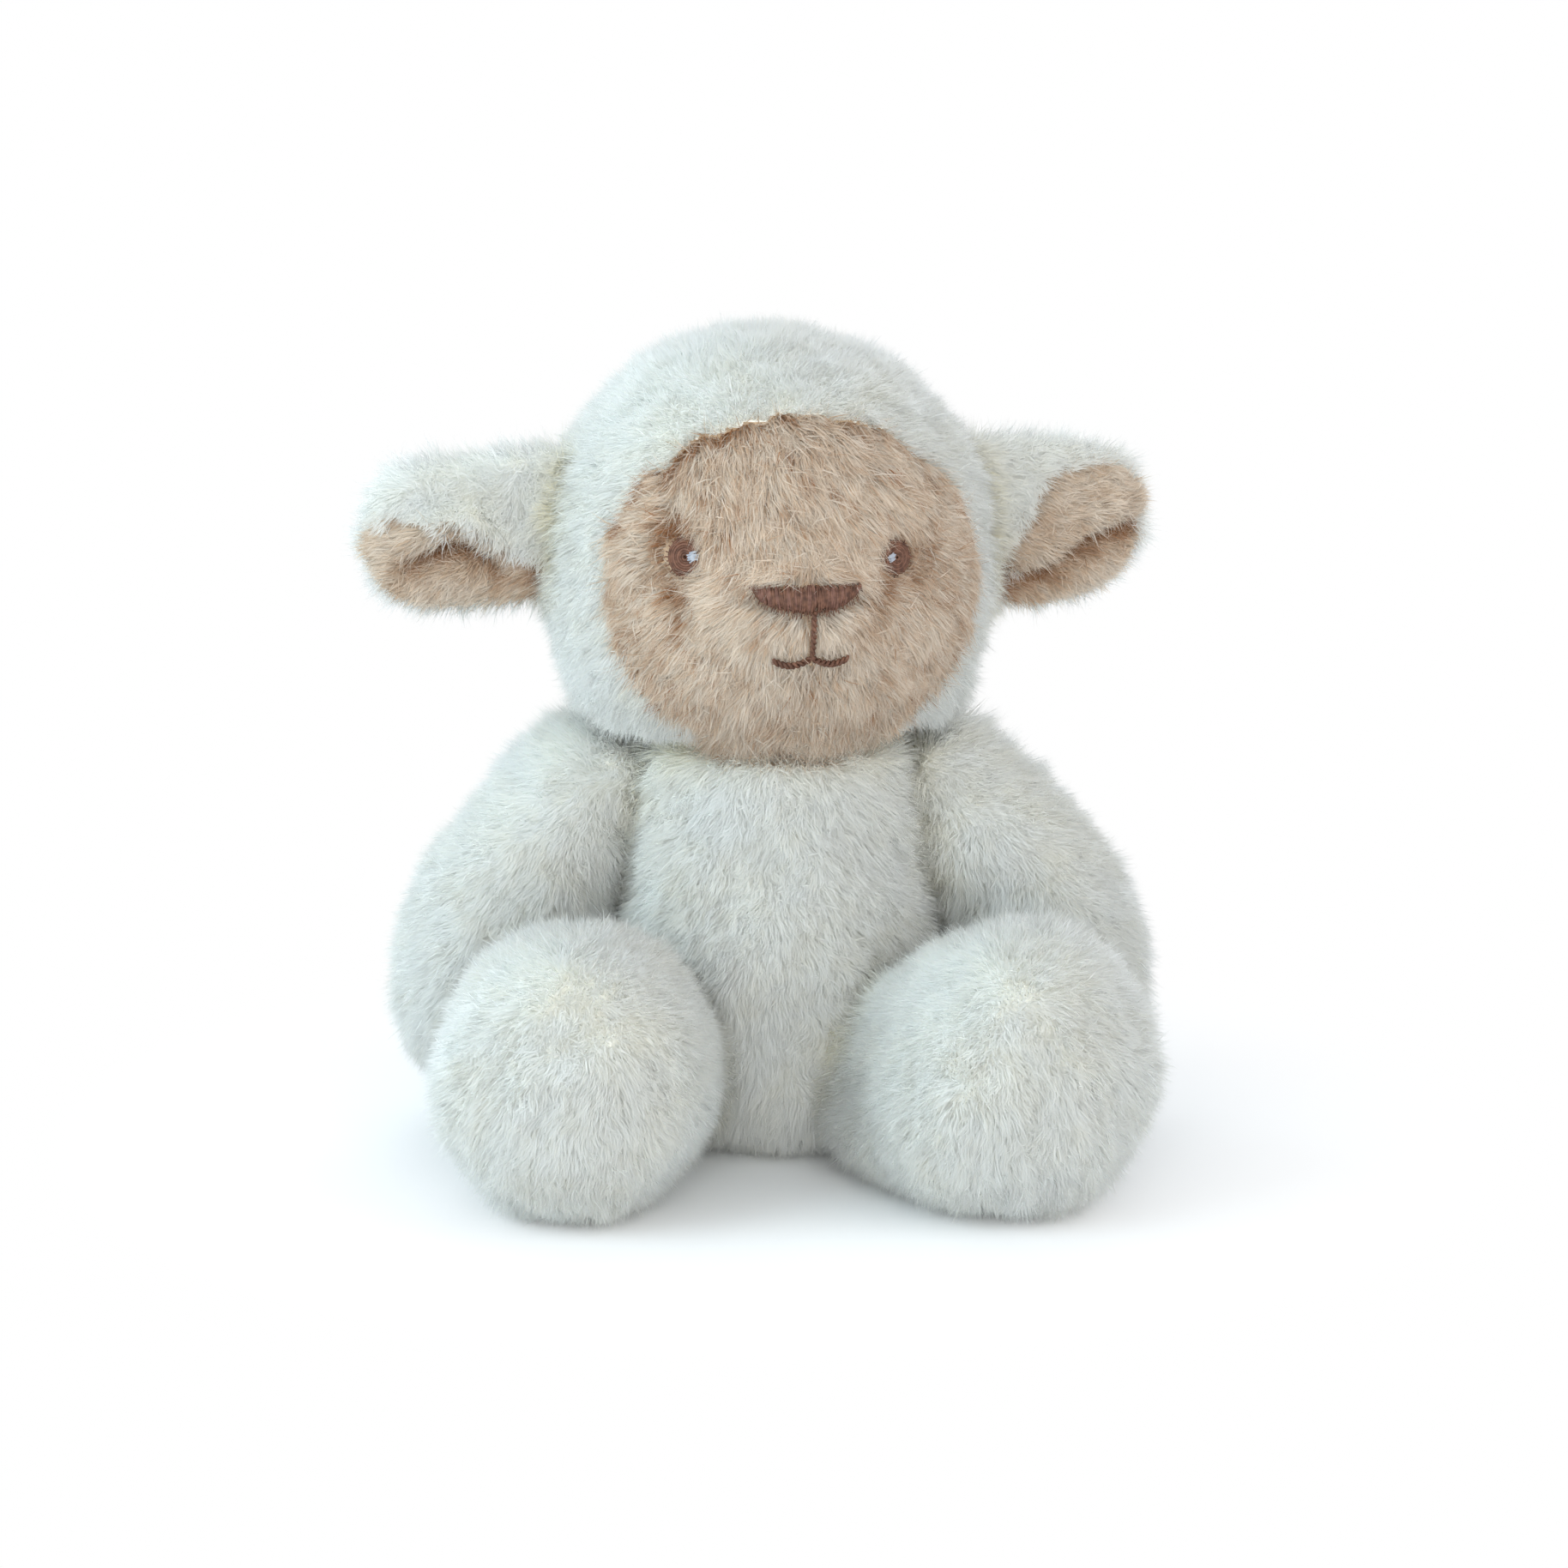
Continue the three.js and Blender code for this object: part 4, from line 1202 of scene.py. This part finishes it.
    def comb(self, points: Array) -> Array:
        """Outwards to the tip; the white falls over the hollow's top edge.

        Args:
            points: the pile's roots.

        Returns:
            One direction for each root.
        """
        leaf = self.to_leaf(points)
        lining = smooth(-1.0, 2.0, self.lining_share(leaf))[:, None]
        above_hem = leaf[:, 2] - np.interp(leaf[:, 0], *self.hem)
        white = np.tile((0.75, -0.3, -0.45), (len(leaf), 1))
        white[:, 2] = np.where(leaf[:, 1] > 0, -0.25, -0.2 - 0.5 * bell((above_hem, 0, 6.0)))
        tan = np.tile((1.0, -0.1, -0.2), (len(leaf), 1))
        tan[:, 2] += leaf[:, 2] / 60.0
        flow = white * (1 - lining) + tan * lining
        return ((flow * self.mirror) @ self.hang.T) @ self.head.spin.T

    def panels(self) -> list[Panel]:
        """White back and tan lining.

        Returns:
            The panels, in the order of their numbers.
        """
        white = PileStyle(7.2, 2.0, 5.8, tip_lift=36.0)
        tan = PileStyle(6.0, 2.6, 6.0, 0.36, 0.26, 40, 8, 20, tuft=2.2, lock=5.5, swirl=0.24, mottle=0.1, soft=0.74)
        return [Panel(f"{self.name}_back", white), Panel(f"{self.name}_lining", tan, Slot.TAN)]

    def panel_of(self, points: Array) -> Array:
        """The lining in front of the tilted seam."""
        return (self.tan_share(points) > 0).astype(int)

    def adjust(self, strands: Strands) -> Strands:
        """A shorter pile in the hollow, with painted brown shade in and below it.

        Args:
            strands: rooted strands, changed in place.

        Returns:
            The same strands.
        """
        leaf = self.to_leaf(strands.roots)
        above = self.lining_share(leaf)
        if above.max(initial=-1) > 0:
            below, opening, hollow = self.folded(leaf[:, 0], leaf[:, 2])
            root = bell((leaf[:, 0], 0, 9.0)) + 0.6 * bell((above, 0, 2.2))
            streaks = waves(self.seed + 5, 4.5, leaf * (0.25, 1.0, 1.0)) * 0.12
            # painted shade in the hollow and in a wider band below its fold; lower down the lining's tone turns paler
            deep = opening * smooth(-1.0, 1.5, below)
            wide = 0.3 * deep * bell((below, 0, 11.0)) - 0.3 * smooth(8.0, 17.0, below)
            strands.shades = strands.shades + self.dark * hollow + wide + 0.25 * root + streaks
            strands.lengths = strands.lengths * (1 - 0.4 * hollow + 0.15 * bell((below, -3.0, 3.0)))
        return strands


class Limb(Form):
    """A round stuffed form along a centreline; shares gives its thickness along it."""

    radius = 30.0
    crowding = 1.5
    cap = 0.13
    kinds: tuple[str, ...] = ()

    def surface(self, polar: Array, turn: Array, inset: float) -> Array:
        """Places on the limb, from its rounded root in the torso to its tip.

        Args:
            polar: 0 at the bottom or root to 1 at the top or tip.
            turn: angle round the form in radians.
            inset: how far inside the solid's surface.

        Returns:
            One place for each pair.
        """
        place = 1 - (1 - np.clip((polar - self.cap) / (1 - self.cap), 0, 1)) ** self.crowding
        close = np.clip(polar / self.cap, 0, 1)
        reach = (self.radius - inset) * np.maximum(self.shares.at(place), 0.0) * close
        along = place * (1 - inset / self.line.length)
        lines = (self.line.points, self.line.normals, self.line.binormals)
        centre, across, up = (self.line.read(values, along) for values in lines)
        root = 0.9 * (self.radius - inset) * self.shares.at(np.zeros(1))[0] * np.sqrt(1 - close**2)
        centre = centre - root[:, None] * self.line.tangents[0]
        return centre + reach[:, None] * (np.cos(turn)[:, None] * across + np.sin(turn)[:, None] * up)

    def along(self, points: Array) -> Array:
        """The centreline's direction beside each place."""
        rows = np.argmin(((points[:, None, :] - self.line.points[None, ::4, :]) ** 2).sum(axis=2), axis=1) * 4
        return self.line.tangents[np.minimum(rows, len(self.line.tangents) - 1)]

    def panels(self) -> list[Panel]:
        """The limb's two panels."""
        return [Panel(f"{self.name}_{kind}_panel") for kind in self.kinds]


@dataclass
class Arm(Limb):
    """An arm that hangs from the shoulder and swells towards the paw."""

    kinds = ("front", "back")
    shares = Outline((0, 0.54), (0.12, 0.76), (0.3, 0.88), (0.52, 0.97), (0.7, 1), (0.82, 0.9), (0.92, 0.64), (1, 0))

    side: Side = Side.LEFT
    shoulder: Triple = (46.0, -2.0, 101.5)

    def __post_init__(self) -> None:
        """Set the names and the centreline."""
        self.name = self.body = f"arm_{self.side.word}"
        self.filling, self.seed = f"{self.name}_filling", 55 + self.side.value
        if self.side is Side.LEFT:
            self.radius, self.slope = 29.0, 3.5
            spread, forward, drop = 38.0, 5.0, 89.5
            upper = [(0.25, 0, 0.05), (0.64, 0.2, 0.3), (0.93, 0.8, 0.6)]
        else:
            self.radius, self.slope = 28.0, 5.0
            spread, forward, drop = 34.5, 3.0, 87.5
            upper = [(0.25, 0, 0.1), (0.67, 0.2, 0.32), (0.94, 0.8, 0.6)]
        x, y, z = self.shoulder
        self.line = Centreline([
            (self.side.value * (x + out * spread), y - ahead * forward, z - down * drop)
            for out, ahead, down in [(0, 0, 0), *upper, (1, 1, 1)]
        ])

    def surface(self, polar: Array, turn: Array, inset: float) -> Array:
        """Places on the arm, whose cloth is drawn up to the neck.

        Args:
            polar: 0 at the bottom or root to 1 at the top or tip.
            turn: angle round the form in radians.
            inset: how far inside the solid's surface.

        Returns:
            One place for each pair.
        """
        places = super().surface(polar, turn, inset)
        lift = self.slope * near(places, (self.side.value * 51.0, 0.0, 117.0), 11.0)
        return places + lift[:, None] * (self.side.value * 0.1, 0.0, 1.0)

    def comb(self, points: Array) -> Array:
        """Along the arm towards the paw."""
        return self.along(points) + (0.12 * self.side.value, -0.1, -0.35)

    def adjust(self, strands: Strands) -> Strands:
        """Longer pile on the shoulder, which runs on into the hood's.

        Args:
            strands: rooted strands, changed in place.

        Returns:
            The same strands.
        """
        shoulder = near(strands.roots, (self.side.value * 50.0, 0.0, 116.0), 15.0)
        strands.lengths = strands.lengths * (1 + 0.45 * shoulder)
        return strands

    def panel_of(self, points: Array) -> Array:
        """In front of or behind the shoulder's plane."""
        return (points[:, 1] > self.shoulder[1]).astype(int)


@dataclass
class Leg(Limb):
    """A thick leg that points forwards along the floor and ends in a round foot."""

    kinds = ("upper", "lower")
    shares = Outline((0, 0.54), (0.2, 0.66), (0.4, 0.88), (0.6, 1), (0.78, 0.92), (0.92, 0.6), (1, 0))
    radius, lumps = 40.0, 1.0

    side: Side = Side.LEFT
    hip: Triple = (38.0, -38.0, 31.0)

    def __post_init__(self) -> None:
        """Set the names, the centreline, and how the leg is drawn in and spread."""
        self.name = self.body = f"leg_{self.side.word}"
        self.filling, self.seed = f"{self.name}_filling", 67 + self.side.value
        if self.side is Side.LEFT:
            length, splay, self.thigh, pucker_x = 53.0, math.radians(18.8), 3.0, 0.04
            self.narrow = [(0.93, 0.94, 0.93), (1.0, 0.93, 0.90)]
        else:
            length, splay, self.thigh, pucker_x = 52.5, math.radians(31.0), 15.0, -0.1
            self.narrow = [(1.2, 0.96, 0.76), (0.93, 0.93, 0.96)]
        hip = np.array((self.side.value * self.hip[0], self.hip[1], self.hip[2]))
        foot = hip + (self.side.value * length * math.sin(splay), -length * math.cos(splay), 8.5)
        toe = foot + (foot - hip) / np.linalg.norm(foot - hip) * 38.0
        self.line = Centreline([tuple(hip), tuple(toe)])
        self.pucker = foot + self.radius * unit(np.array((pucker_x, -0.42, 0.9)))

    def surface(self, polar: Array, turn: Array, inset: float) -> Array:
        """Places on the leg, drawn in or spread sideways by height.

        Args:
            polar: 0 at the bottom or root to 1 at the top or tip.
            turn: angle round the form in radians.
            inset: how far inside the solid's surface.

        Returns:
            One place for each pair.
        """
        places = super().surface(polar, turn, inset)
        first, last = self.line.points[0], self.line.points[-1]
        share = (places[:, 1] - first[1]) / (last[1] - first[1])
        middle = first[0] + (last[0] - first[0]) * np.clip(share, 0, 1)
        out = (places[:, 0] - middle) * self.side.value
        inner, outer = (np.interp(places[:, 2], (10.0, 32.0, 60.0), widths) for widths in self.narrow)
        front = smooth(0.0, 0.3, share)
        places[:, 0] = middle + out * self.side.value * (1 + (np.where(out < 0, inner, outer) - 1) * front)
        away = (places - (self.side.value * 29.0, -58.0, 13.0)) / (16.0, 18.0, 11.0)
        return places + (self.thigh * near(away, 0.0, 1.0))[:, None] * (-0.9 * self.side.value, 0.0, -0.4)

    def comb(self, points: Array) -> Array:
        """Away from the pucker on top of the foot, and down."""
        share = 0.2 + 0.4 * near(points, self.pucker, 20.0)[:, None]
        return unit(points - self.pucker) * share + (0.12 * self.side.value, -0.45, -0.75)

    def panel_of(self, points: Array) -> Array:
        """Above or below the side seam."""
        return (points[:, 2] < self.radius).astype(int)


@dataclass
class Tail(Limb):
    """A short stub low on the back."""

    name, body, filling, seed = "tail", "tail", "tail_filling", 83
    radius, facets, rings, lumps = 12.0, 32, 24, 0.3
    shares = Outline((0, 0.5), (0.25, 0.62), (0.6, 1), (0.85, 0.72), (1, 0))

    root: Triple = (0.0, 44.0, 34.0)
    tail_length: float = 36.0
    fall: float = 25.0

    def __post_init__(self) -> None:
        """Set the centreline."""
        angle = math.radians(self.fall)
        tip = np.array(self.root) + self.tail_length * np.array((0, math.cos(angle), -math.sin(angle)))
        self.line = Centreline([self.root, tuple(tip)])

    def surface(self, polar: Array, turn: Array, inset: float) -> Array:
        """Places on the tail, whose pile is shorter."""
        return super().surface(polar, turn, inset * 0.62)

    def comb(self, points: Array) -> Array:
        """Along the tail and down."""
        return self.along(points) + (0, 0, -0.3)

    def panels(self) -> list[Panel]:
        """The one skin."""
        return [Panel("tail_skin", PileStyle(7.0))]

    def panel_of(self, points: Array) -> Array:
        """All on the one skin."""
        return np.zeros(len(points), dtype=int)


# Embroidery


@dataclass
class Embroidery:
    """Eyes, nose and mouth, stitched in thread onto the face."""

    nose_half, nose_top, nose_drop = 15.0, -3.4, 6.7
    mouth_half, fork = 10.6, -23.0

    head: Head
    thread: float = 0.34

    def __post_init__(self) -> None:
        """Measure the face once, to lay threads on it."""
        skin = self.head.shell(0.0)
        *_, self.tree = triangulated(skin)
        skin.free()
        self.rng = np.random.default_rng(205)
        self.straight = Vector(self.head.spin @ np.array((0.0, 1.0, 0.0)))

    def on_face(self, x: float, high: float, lift: float) -> Vector:
        """Find a place over the face.

        Args:
            x: sideways from the head's middle.
            high: upwards from the head's centre.
            lift: how far out from the surface.

        Returns:
            The place in the sheep's frame.
        """
        start = Vector(self.head.to_world(np.array([[x, -200.0, self.head.centre + high]]))[0])
        place, normal, _, _ = self.tree.ray_cast(start, self.straight)
        return place + normal * lift

    def stitch(
        self, name: str, node: str, lines: list[list[Vector]], radius: float, finish: ClothFinish, closed: bool = False
    ) -> None:
        """Lay round threads along lines and add them as one piece.

        Args:
            name: the piece's name.
            node: the solid that it stands for.
            lines: points of each thread.
            radius: the threads' radius.
            finish: their finish.
            closed: whether each line is a ring.
        """
        curve = bpy.data.curves.new(name, "CURVE")
        curve.dimensions = "3D"
        curve.bevel_depth = radius * MM
        curve.bevel_resolution = 1
        curve.use_fill_caps = True
        for line in lines:
            spline = curve.splines.new("POLY")
            spline.points.add(len(line) - 1)
            for point, place in zip(spline.points, line):
                point.co = (*(place * MM), 1.0)
            spline.use_cyclic_u = closed
        holder = bpy.data.objects.new("threads", curve)
        bpy.context.scene.collection.objects.link(holder)
        bpy.context.view_layer.update()
        mesh = bpy.data.meshes.new_from_object(holder.evaluated_get(bpy.context.evaluated_depsgraph_get()))
        bpy.data.objects.remove(holder)
        mesh.polygons.foreach_set("use_smooth", np.ones(len(mesh.polygons), dtype=bool))
        mesh.materials.clear()
        add_piece(name, mesh, finish, "head", Slot.THREAD, node)

    def pad(self, name: str, node: str, centre: tuple[float, float], half: tuple[float, float], lift: float) -> None:
        """Add a low stuffed oval under the threads.

        Args:
            name: the piece's name.
            node: the solid that it stands for.
            centre: its middle on the face.
            half: its half width and half height.
            lift: how far its crown stands out from the surface.
        """
        shape = bmesh.new()
        bmesh.ops.create_uvsphere(shape, u_segments=28, v_segments=14, radius=1.0)
        for vert in shape.verts:
            bulge = -vert.co.y * 1.1
            vert.co = self.on_face(centre[0] + vert.co.x * half[0], centre[1] + vert.co.z * half[1], lift - 1.1 + bulge)
        bmesh.ops.recalc_face_normals(shape, faces=shape.faces)
        add_piece(name, as_mesh(shape), BROWN_THREAD, "head", Slot.THREAD, node)
        shape.free()

    def eye(self, side: Side, glint: tuple[float, float], spot: float) -> None:
        """Stitch one eye: a dark oval in rings of thread, with a pale glint.

        Args:
            side: which eye.
            glint: the glint's place from the eye's middle.
            spot: the glint's half width.
        """
        name, node = f"eye_{side.word}", f"eye_{side.word}_stitching"
        number = list(Side).index(side)
        (eye_x, eye_z), (wide, tall) = self.head.eyes[number], self.head.eye_halves[number]

        def at(share: float, angle: float, lift: float) -> Vector:
            """A place at a share of the eye's size and an angle round it."""
            return self.on_face(eye_x + wide * share * math.cos(angle), eye_z + tall * share * math.sin(angle), lift)

        self.pad(f"{name}_pad", node, (eye_x, eye_z), (wide, tall), -0.9)
        rings = {"ring": (BROWN_THREAD, (1.0, 0.86, 0.58, 0.30, 0.16)), "inner_ring": (RUST_THREAD, (0.72, 0.44))}
        steps = np.linspace(0, 2 * math.pi, 40, endpoint=False)
        for word, (finish, shares) in rings.items():
            lines = [[at(share, angle, -0.75 + 0.75 * (1 - share * share)) for angle in steps] for share in shares]
            self.stitch(f"{name}_{word}", node, lines, 0.42, finish, closed=True)
        lines = []
        for row in np.linspace(-1, 1, 8):
            reach = spot * math.sqrt(1 - 0.8 * row * row) * self.rng.uniform(0.7, 1.15)
            high, tilt = eye_z + glint[1] + row * spot * 0.8, self.rng.normal() * 0.25 + 0.1
            lines.append([
                self.on_face(eye_x + glint[0] + reach * share, high + tilt * share, 0.42 - 0.3 * share * share)
                for share in (-1.0, -0.5, 0.0, 0.5, 1.0)
            ])
        self.stitch(f"{name}_glint", node, lines, 0.22, GLINT_THREAD)
        spokes = []
        for angle in np.linspace(0, 2 * math.pi, 26, endpoint=False) + self.rng.normal(size=26) * 0.08:
            ends = ((0.9, -0.6), (1.05, -0.5), (self.rng.uniform(1.12, 1.34), -0.9))
            spokes.append([at(share, angle, lift) for share, lift in ends])
        self.stitch(f"{name}_ends", node, spokes, 0.2, BROWN_THREAD)

    def nose(self) -> None:
        """Stitch the nose in close, nearly upright threads, two finishes mixed."""
        half, top, drop, node = self.nose_half, self.nose_top, self.nose_drop, "nose_stitching"
        self.pad("nose_pad", node, (0.0, -6.0), (13.0, 2.8), -0.4)
        lines: dict[bool, list[list[Vector]]] = {True: [], False: []}
        for x in np.arange(-half, half + 0.01, 0.42):
            share = abs(x) / half
            low = top - 0.5 - (drop - 0.5) * math.sqrt(max(1 - share**2, 0)) + self.rng.normal() * 0.3
            high = top + 0.5 + self.rng.normal() * 0.3 - 0.5 * share
            lean = self.rng.normal() * 0.35 - 0.06 * x
            crown = 0.55 * (1 - share**2)
            line = [
                self.on_face(x + lean * (s - 0.5), high + (low - high) * s, crown * math.sin(math.pi * s) + rise)
                for s, rise in ((0.0, -1.2), (0.12, -0.1), (0.35, 0.15), (0.65, 0.15), (0.88, -0.1), (1.0, -1.2))
            ]
            lines[bool(self.rng.random() < 0.3)].append(line)
        self.stitch("nose_threads", node, lines[False], self.thread, BROWN_THREAD)
        self.stitch("nose_pale_threads", node, lines[True], self.thread, NOSE_THREAD)
        ends = []
        for x in np.linspace(-0.98, 0.98, 58) * half + self.rng.normal(size=58) * 0.12:
            low = top - drop * math.sqrt(max(1 - (x / half) ** 2, 0))
            reach, fan = self.rng.uniform(0.7, 2.0), x / half * 0.75
            ends.append([
                self.on_face(x + fan * reach * s, low + 0.5 - (reach + 0.5) * s, 0.1 - 0.4 * s) for s in (0.0, 0.5, 1.0)
            ])
        self.stitch("nose_ends", node, ends, 0.13, BROWN_THREAD)

    def mouth(self) -> None:
        """Stitch the upright line and the two shallow arcs as twisted cord."""
        middle, fork = self.head.mouth_x, self.fork
        paths = [[(middle, high) for high in np.linspace(-9.8, fork, 28)]]
        for sign in (-1, 1):
            paths.append([
                (middle + sign * s * self.mouth_half, fork - 0.3 - 2.3 * math.sin(s * math.pi * 0.86) + 0.3 * s)
                for s in np.linspace(0, 1, 26)
            ])
        lines = []
        for path in paths:
            upright = path is paths[0]
            wide = 0.42 if upright else 0.55
            for start in (0.0, math.pi):
                line = []
                for step, (x, high) in enumerate(path):
                    side, lift = wide * math.sin(start + step * 0.95), wide * math.cos(start + step * 0.95)
                    line.append(self.on_face(x + side * upright, high + side * (not upright), lift - 0.35))
                lines.append(line)
        self.stitch("mouth_threads", "mouth_stitching", lines, 0.5, BROWN_THREAD)

    def build(self) -> None:
        """Stitch the whole face."""
        self.eye(Side.LEFT, (1.9, 0.4), 1.5)
        self.eye(Side.RIGHT, (-1.7, 0.1), 1.15)
        self.nose()
        self.mouth()


# Studio


@dataclass(frozen=True)
class FloorFinish:
    """A white paper floor that keeps a soft shadow near the sheep and fades to plain white."""

    name: str = "white_paper_floor"
    near: float = 0.08
    far: float = 0.215

    def material(self) -> bpy.types.Material:
        """Make the floor's material.

        Returns:
            The new material.
        """
        made = bpy.data.materials.new(self.name)
        made.use_nodes = True
        tree = made.node_tree
        look = {"Base Color": (0.88, 0.89, 0.90, 1), "Roughness": 0.9, "Specular IOR Level": 0.1}
        paper = wire(tree, "Principled BSDF", look)
        place = wire(tree, "ShaderNodeTexCoord", {}).outputs["Object"]
        away = wire(tree, "ShaderNodeVectorMath", {0: place}, operation="LENGTH").outputs["Value"]
        range_ends = {"From Min": self.near, "From Max": self.far}
        fade = wire(tree, "ShaderNodeMapRange", {**range_ends, "Value": away}, interpolation_type="SMOOTHSTEP")
        rays = wire(tree, "ShaderNodeLightPath", {}).outputs
        seen = {0: rays["Is Camera Ray"], 1: rays["Is Glossy Ray"]}
        seen = wire(tree, "ShaderNodeMath", seen, operation="MAXIMUM").outputs["Value"]
        share = wire(tree, "ShaderNodeMath", {0: fade.outputs["Result"], 1: seen}, operation="MULTIPLY")
        white = wire(tree, "ShaderNodeEmission", {"Color": (1, 1, 1, 1)})
        blend(tree, share.outputs["Value"], paper, white, "Material Output")
        return made


@dataclass
class Studio:
    """Camera, soft lamps, world and floor, in metres."""

    lens: float = 101.1
    distance: float = 1.25
    elevation: float = 12.0
    target: Triple = (0.002, -0.02, 0.105)

    def build(self) -> None:
        """Make everything round the sheep; each lamp has a place, a width, watts and a colour."""
        self._camera()
        self._floor()
        self._world()
        self._lamp("key_lamp", (-1.4, -0.85, 0.85), 1.3, 22.0, (0.76, 0.94, 1.0))
        self._lamp("fill_lamp", (1.3, -0.9, 0.9), 1.2, 6.5, (1.0, 0.94, 0.86))
        self._lamp("front_lamp", (0.1, -1.9, 0.3), 1.3, 23.5, (1.0, 0.985, 0.93))
        self._lamp("top_lamp", (-0.2, 0.6, 1.6), 1.4, 3.0, (0.96, 1.0, 1.0))
        self._lamp("back_lamp", (0.5, 1.9, 0.7), 1.3, 7.0, (1.0, 0.99, 0.96))

    def _camera(self) -> None:
        """Set the photograph's camera."""
        lens = bpy.data.cameras.new("camera")
        lens.lens, lens.sensor_width = self.lens, 36.0
        lens.clip_start = 0.05
        camera = bpy.data.objects.new("camera", lens)
        angle = math.radians(self.elevation)
        away = Vector((0.0, -math.cos(angle), math.sin(angle))) * self.distance
        camera.location = Vector(self.target) + away
        camera.rotation_euler = (-away).to_track_quat("-Z", "Y").to_euler()
        bpy.context.scene.collection.objects.link(camera)
        bpy.context.scene.camera = camera

    def _floor(self) -> None:
        """Lay a wide paper floor under the sheep."""
        shape = bmesh.new()
        bmesh.ops.create_grid(shape, x_segments=8, y_segments=8, size=3.0)
        mesh = bpy.data.meshes.new("floor")
        shape.to_mesh(mesh)
        shape.free()
        mesh.materials.append(FloorFinish().material())
        floor = bpy.data.objects.new("floor", mesh)
        bpy.context.scene.collection.objects.link(floor)

    def _world(self) -> None:
        """Show white to the camera, and a soft cool light to everything else."""
        world = bpy.data.worlds.new("studio")
        bpy.context.scene.world = world
        world.use_nodes = True
        tree = world.node_tree
        soft = wire(tree, "Background", {"Color": (0.90, 0.95, 1.0, 1), "Strength": 0.86})
        plain = wire(tree, "ShaderNodeBackground", {"Color": (1, 1, 1, 1)})
        seen = wire(tree, "ShaderNodeLightPath", {}).outputs["Is Camera Ray"]
        blend(tree, seen, soft, plain, "World Output")

    def _lamp(self, name: str, place: Triple, size: float, power: float, color: Triple) -> None:
        """Hang one soft lamp that faces the sheep.

        Args:
            name: the lamp's name.
            place: where it hangs.
            size: its width.
            power: its power in watts.
            color: its light's colour.
        """
        light = bpy.data.lights.new(name, "AREA")
        light.size, light.energy, light.color = size, power, color
        lamp = bpy.data.objects.new(name, light)
        lamp.location = place
        lamp.rotation_euler = (Vector(self.target) - Vector(place)).to_track_quat("-Z", "Y").to_euler()
        bpy.context.scene.collection.objects.link(lamp)


def dress_bags() -> None:
    """Give the pellet bags, which stay as solids, their cloth."""
    for node in ("seat_bean_bag", "foot_left_bean_bag", "foot_right_bean_bag"):
        bag = bpy.data.objects[node]
        bag.data.materials.clear()
        bag.data.materials.append(material_of(PELLET_CLOTH))
        LOG.info("%s: dressed in pellet cloth", node)


def main() -> None:
    """Build the studio, then the sheep from the torso outwards."""
    logging.basicConfig(level=logging.INFO, format="%(name)s: %(message)s")
    bpy.context.scene.view_settings.view_transform = "Standard"
    bpy.context.scene.cycles.diffuse_bounces = 12
    Studio().build()
    head = Head()
    forms: list[Form] = [Torso(), head, Tail()]
    for side in Side:
        forms += [Ear(side=side, head=head), Arm(side=side), Leg(side=side)]
    for form in forms:
        form.build_skin()
    for form in forms:
        form.build_pile([other for other in forms if other is not form])
    Embroidery(head).build()
    dress_bags()


if __name__ == "__main__":
    main()
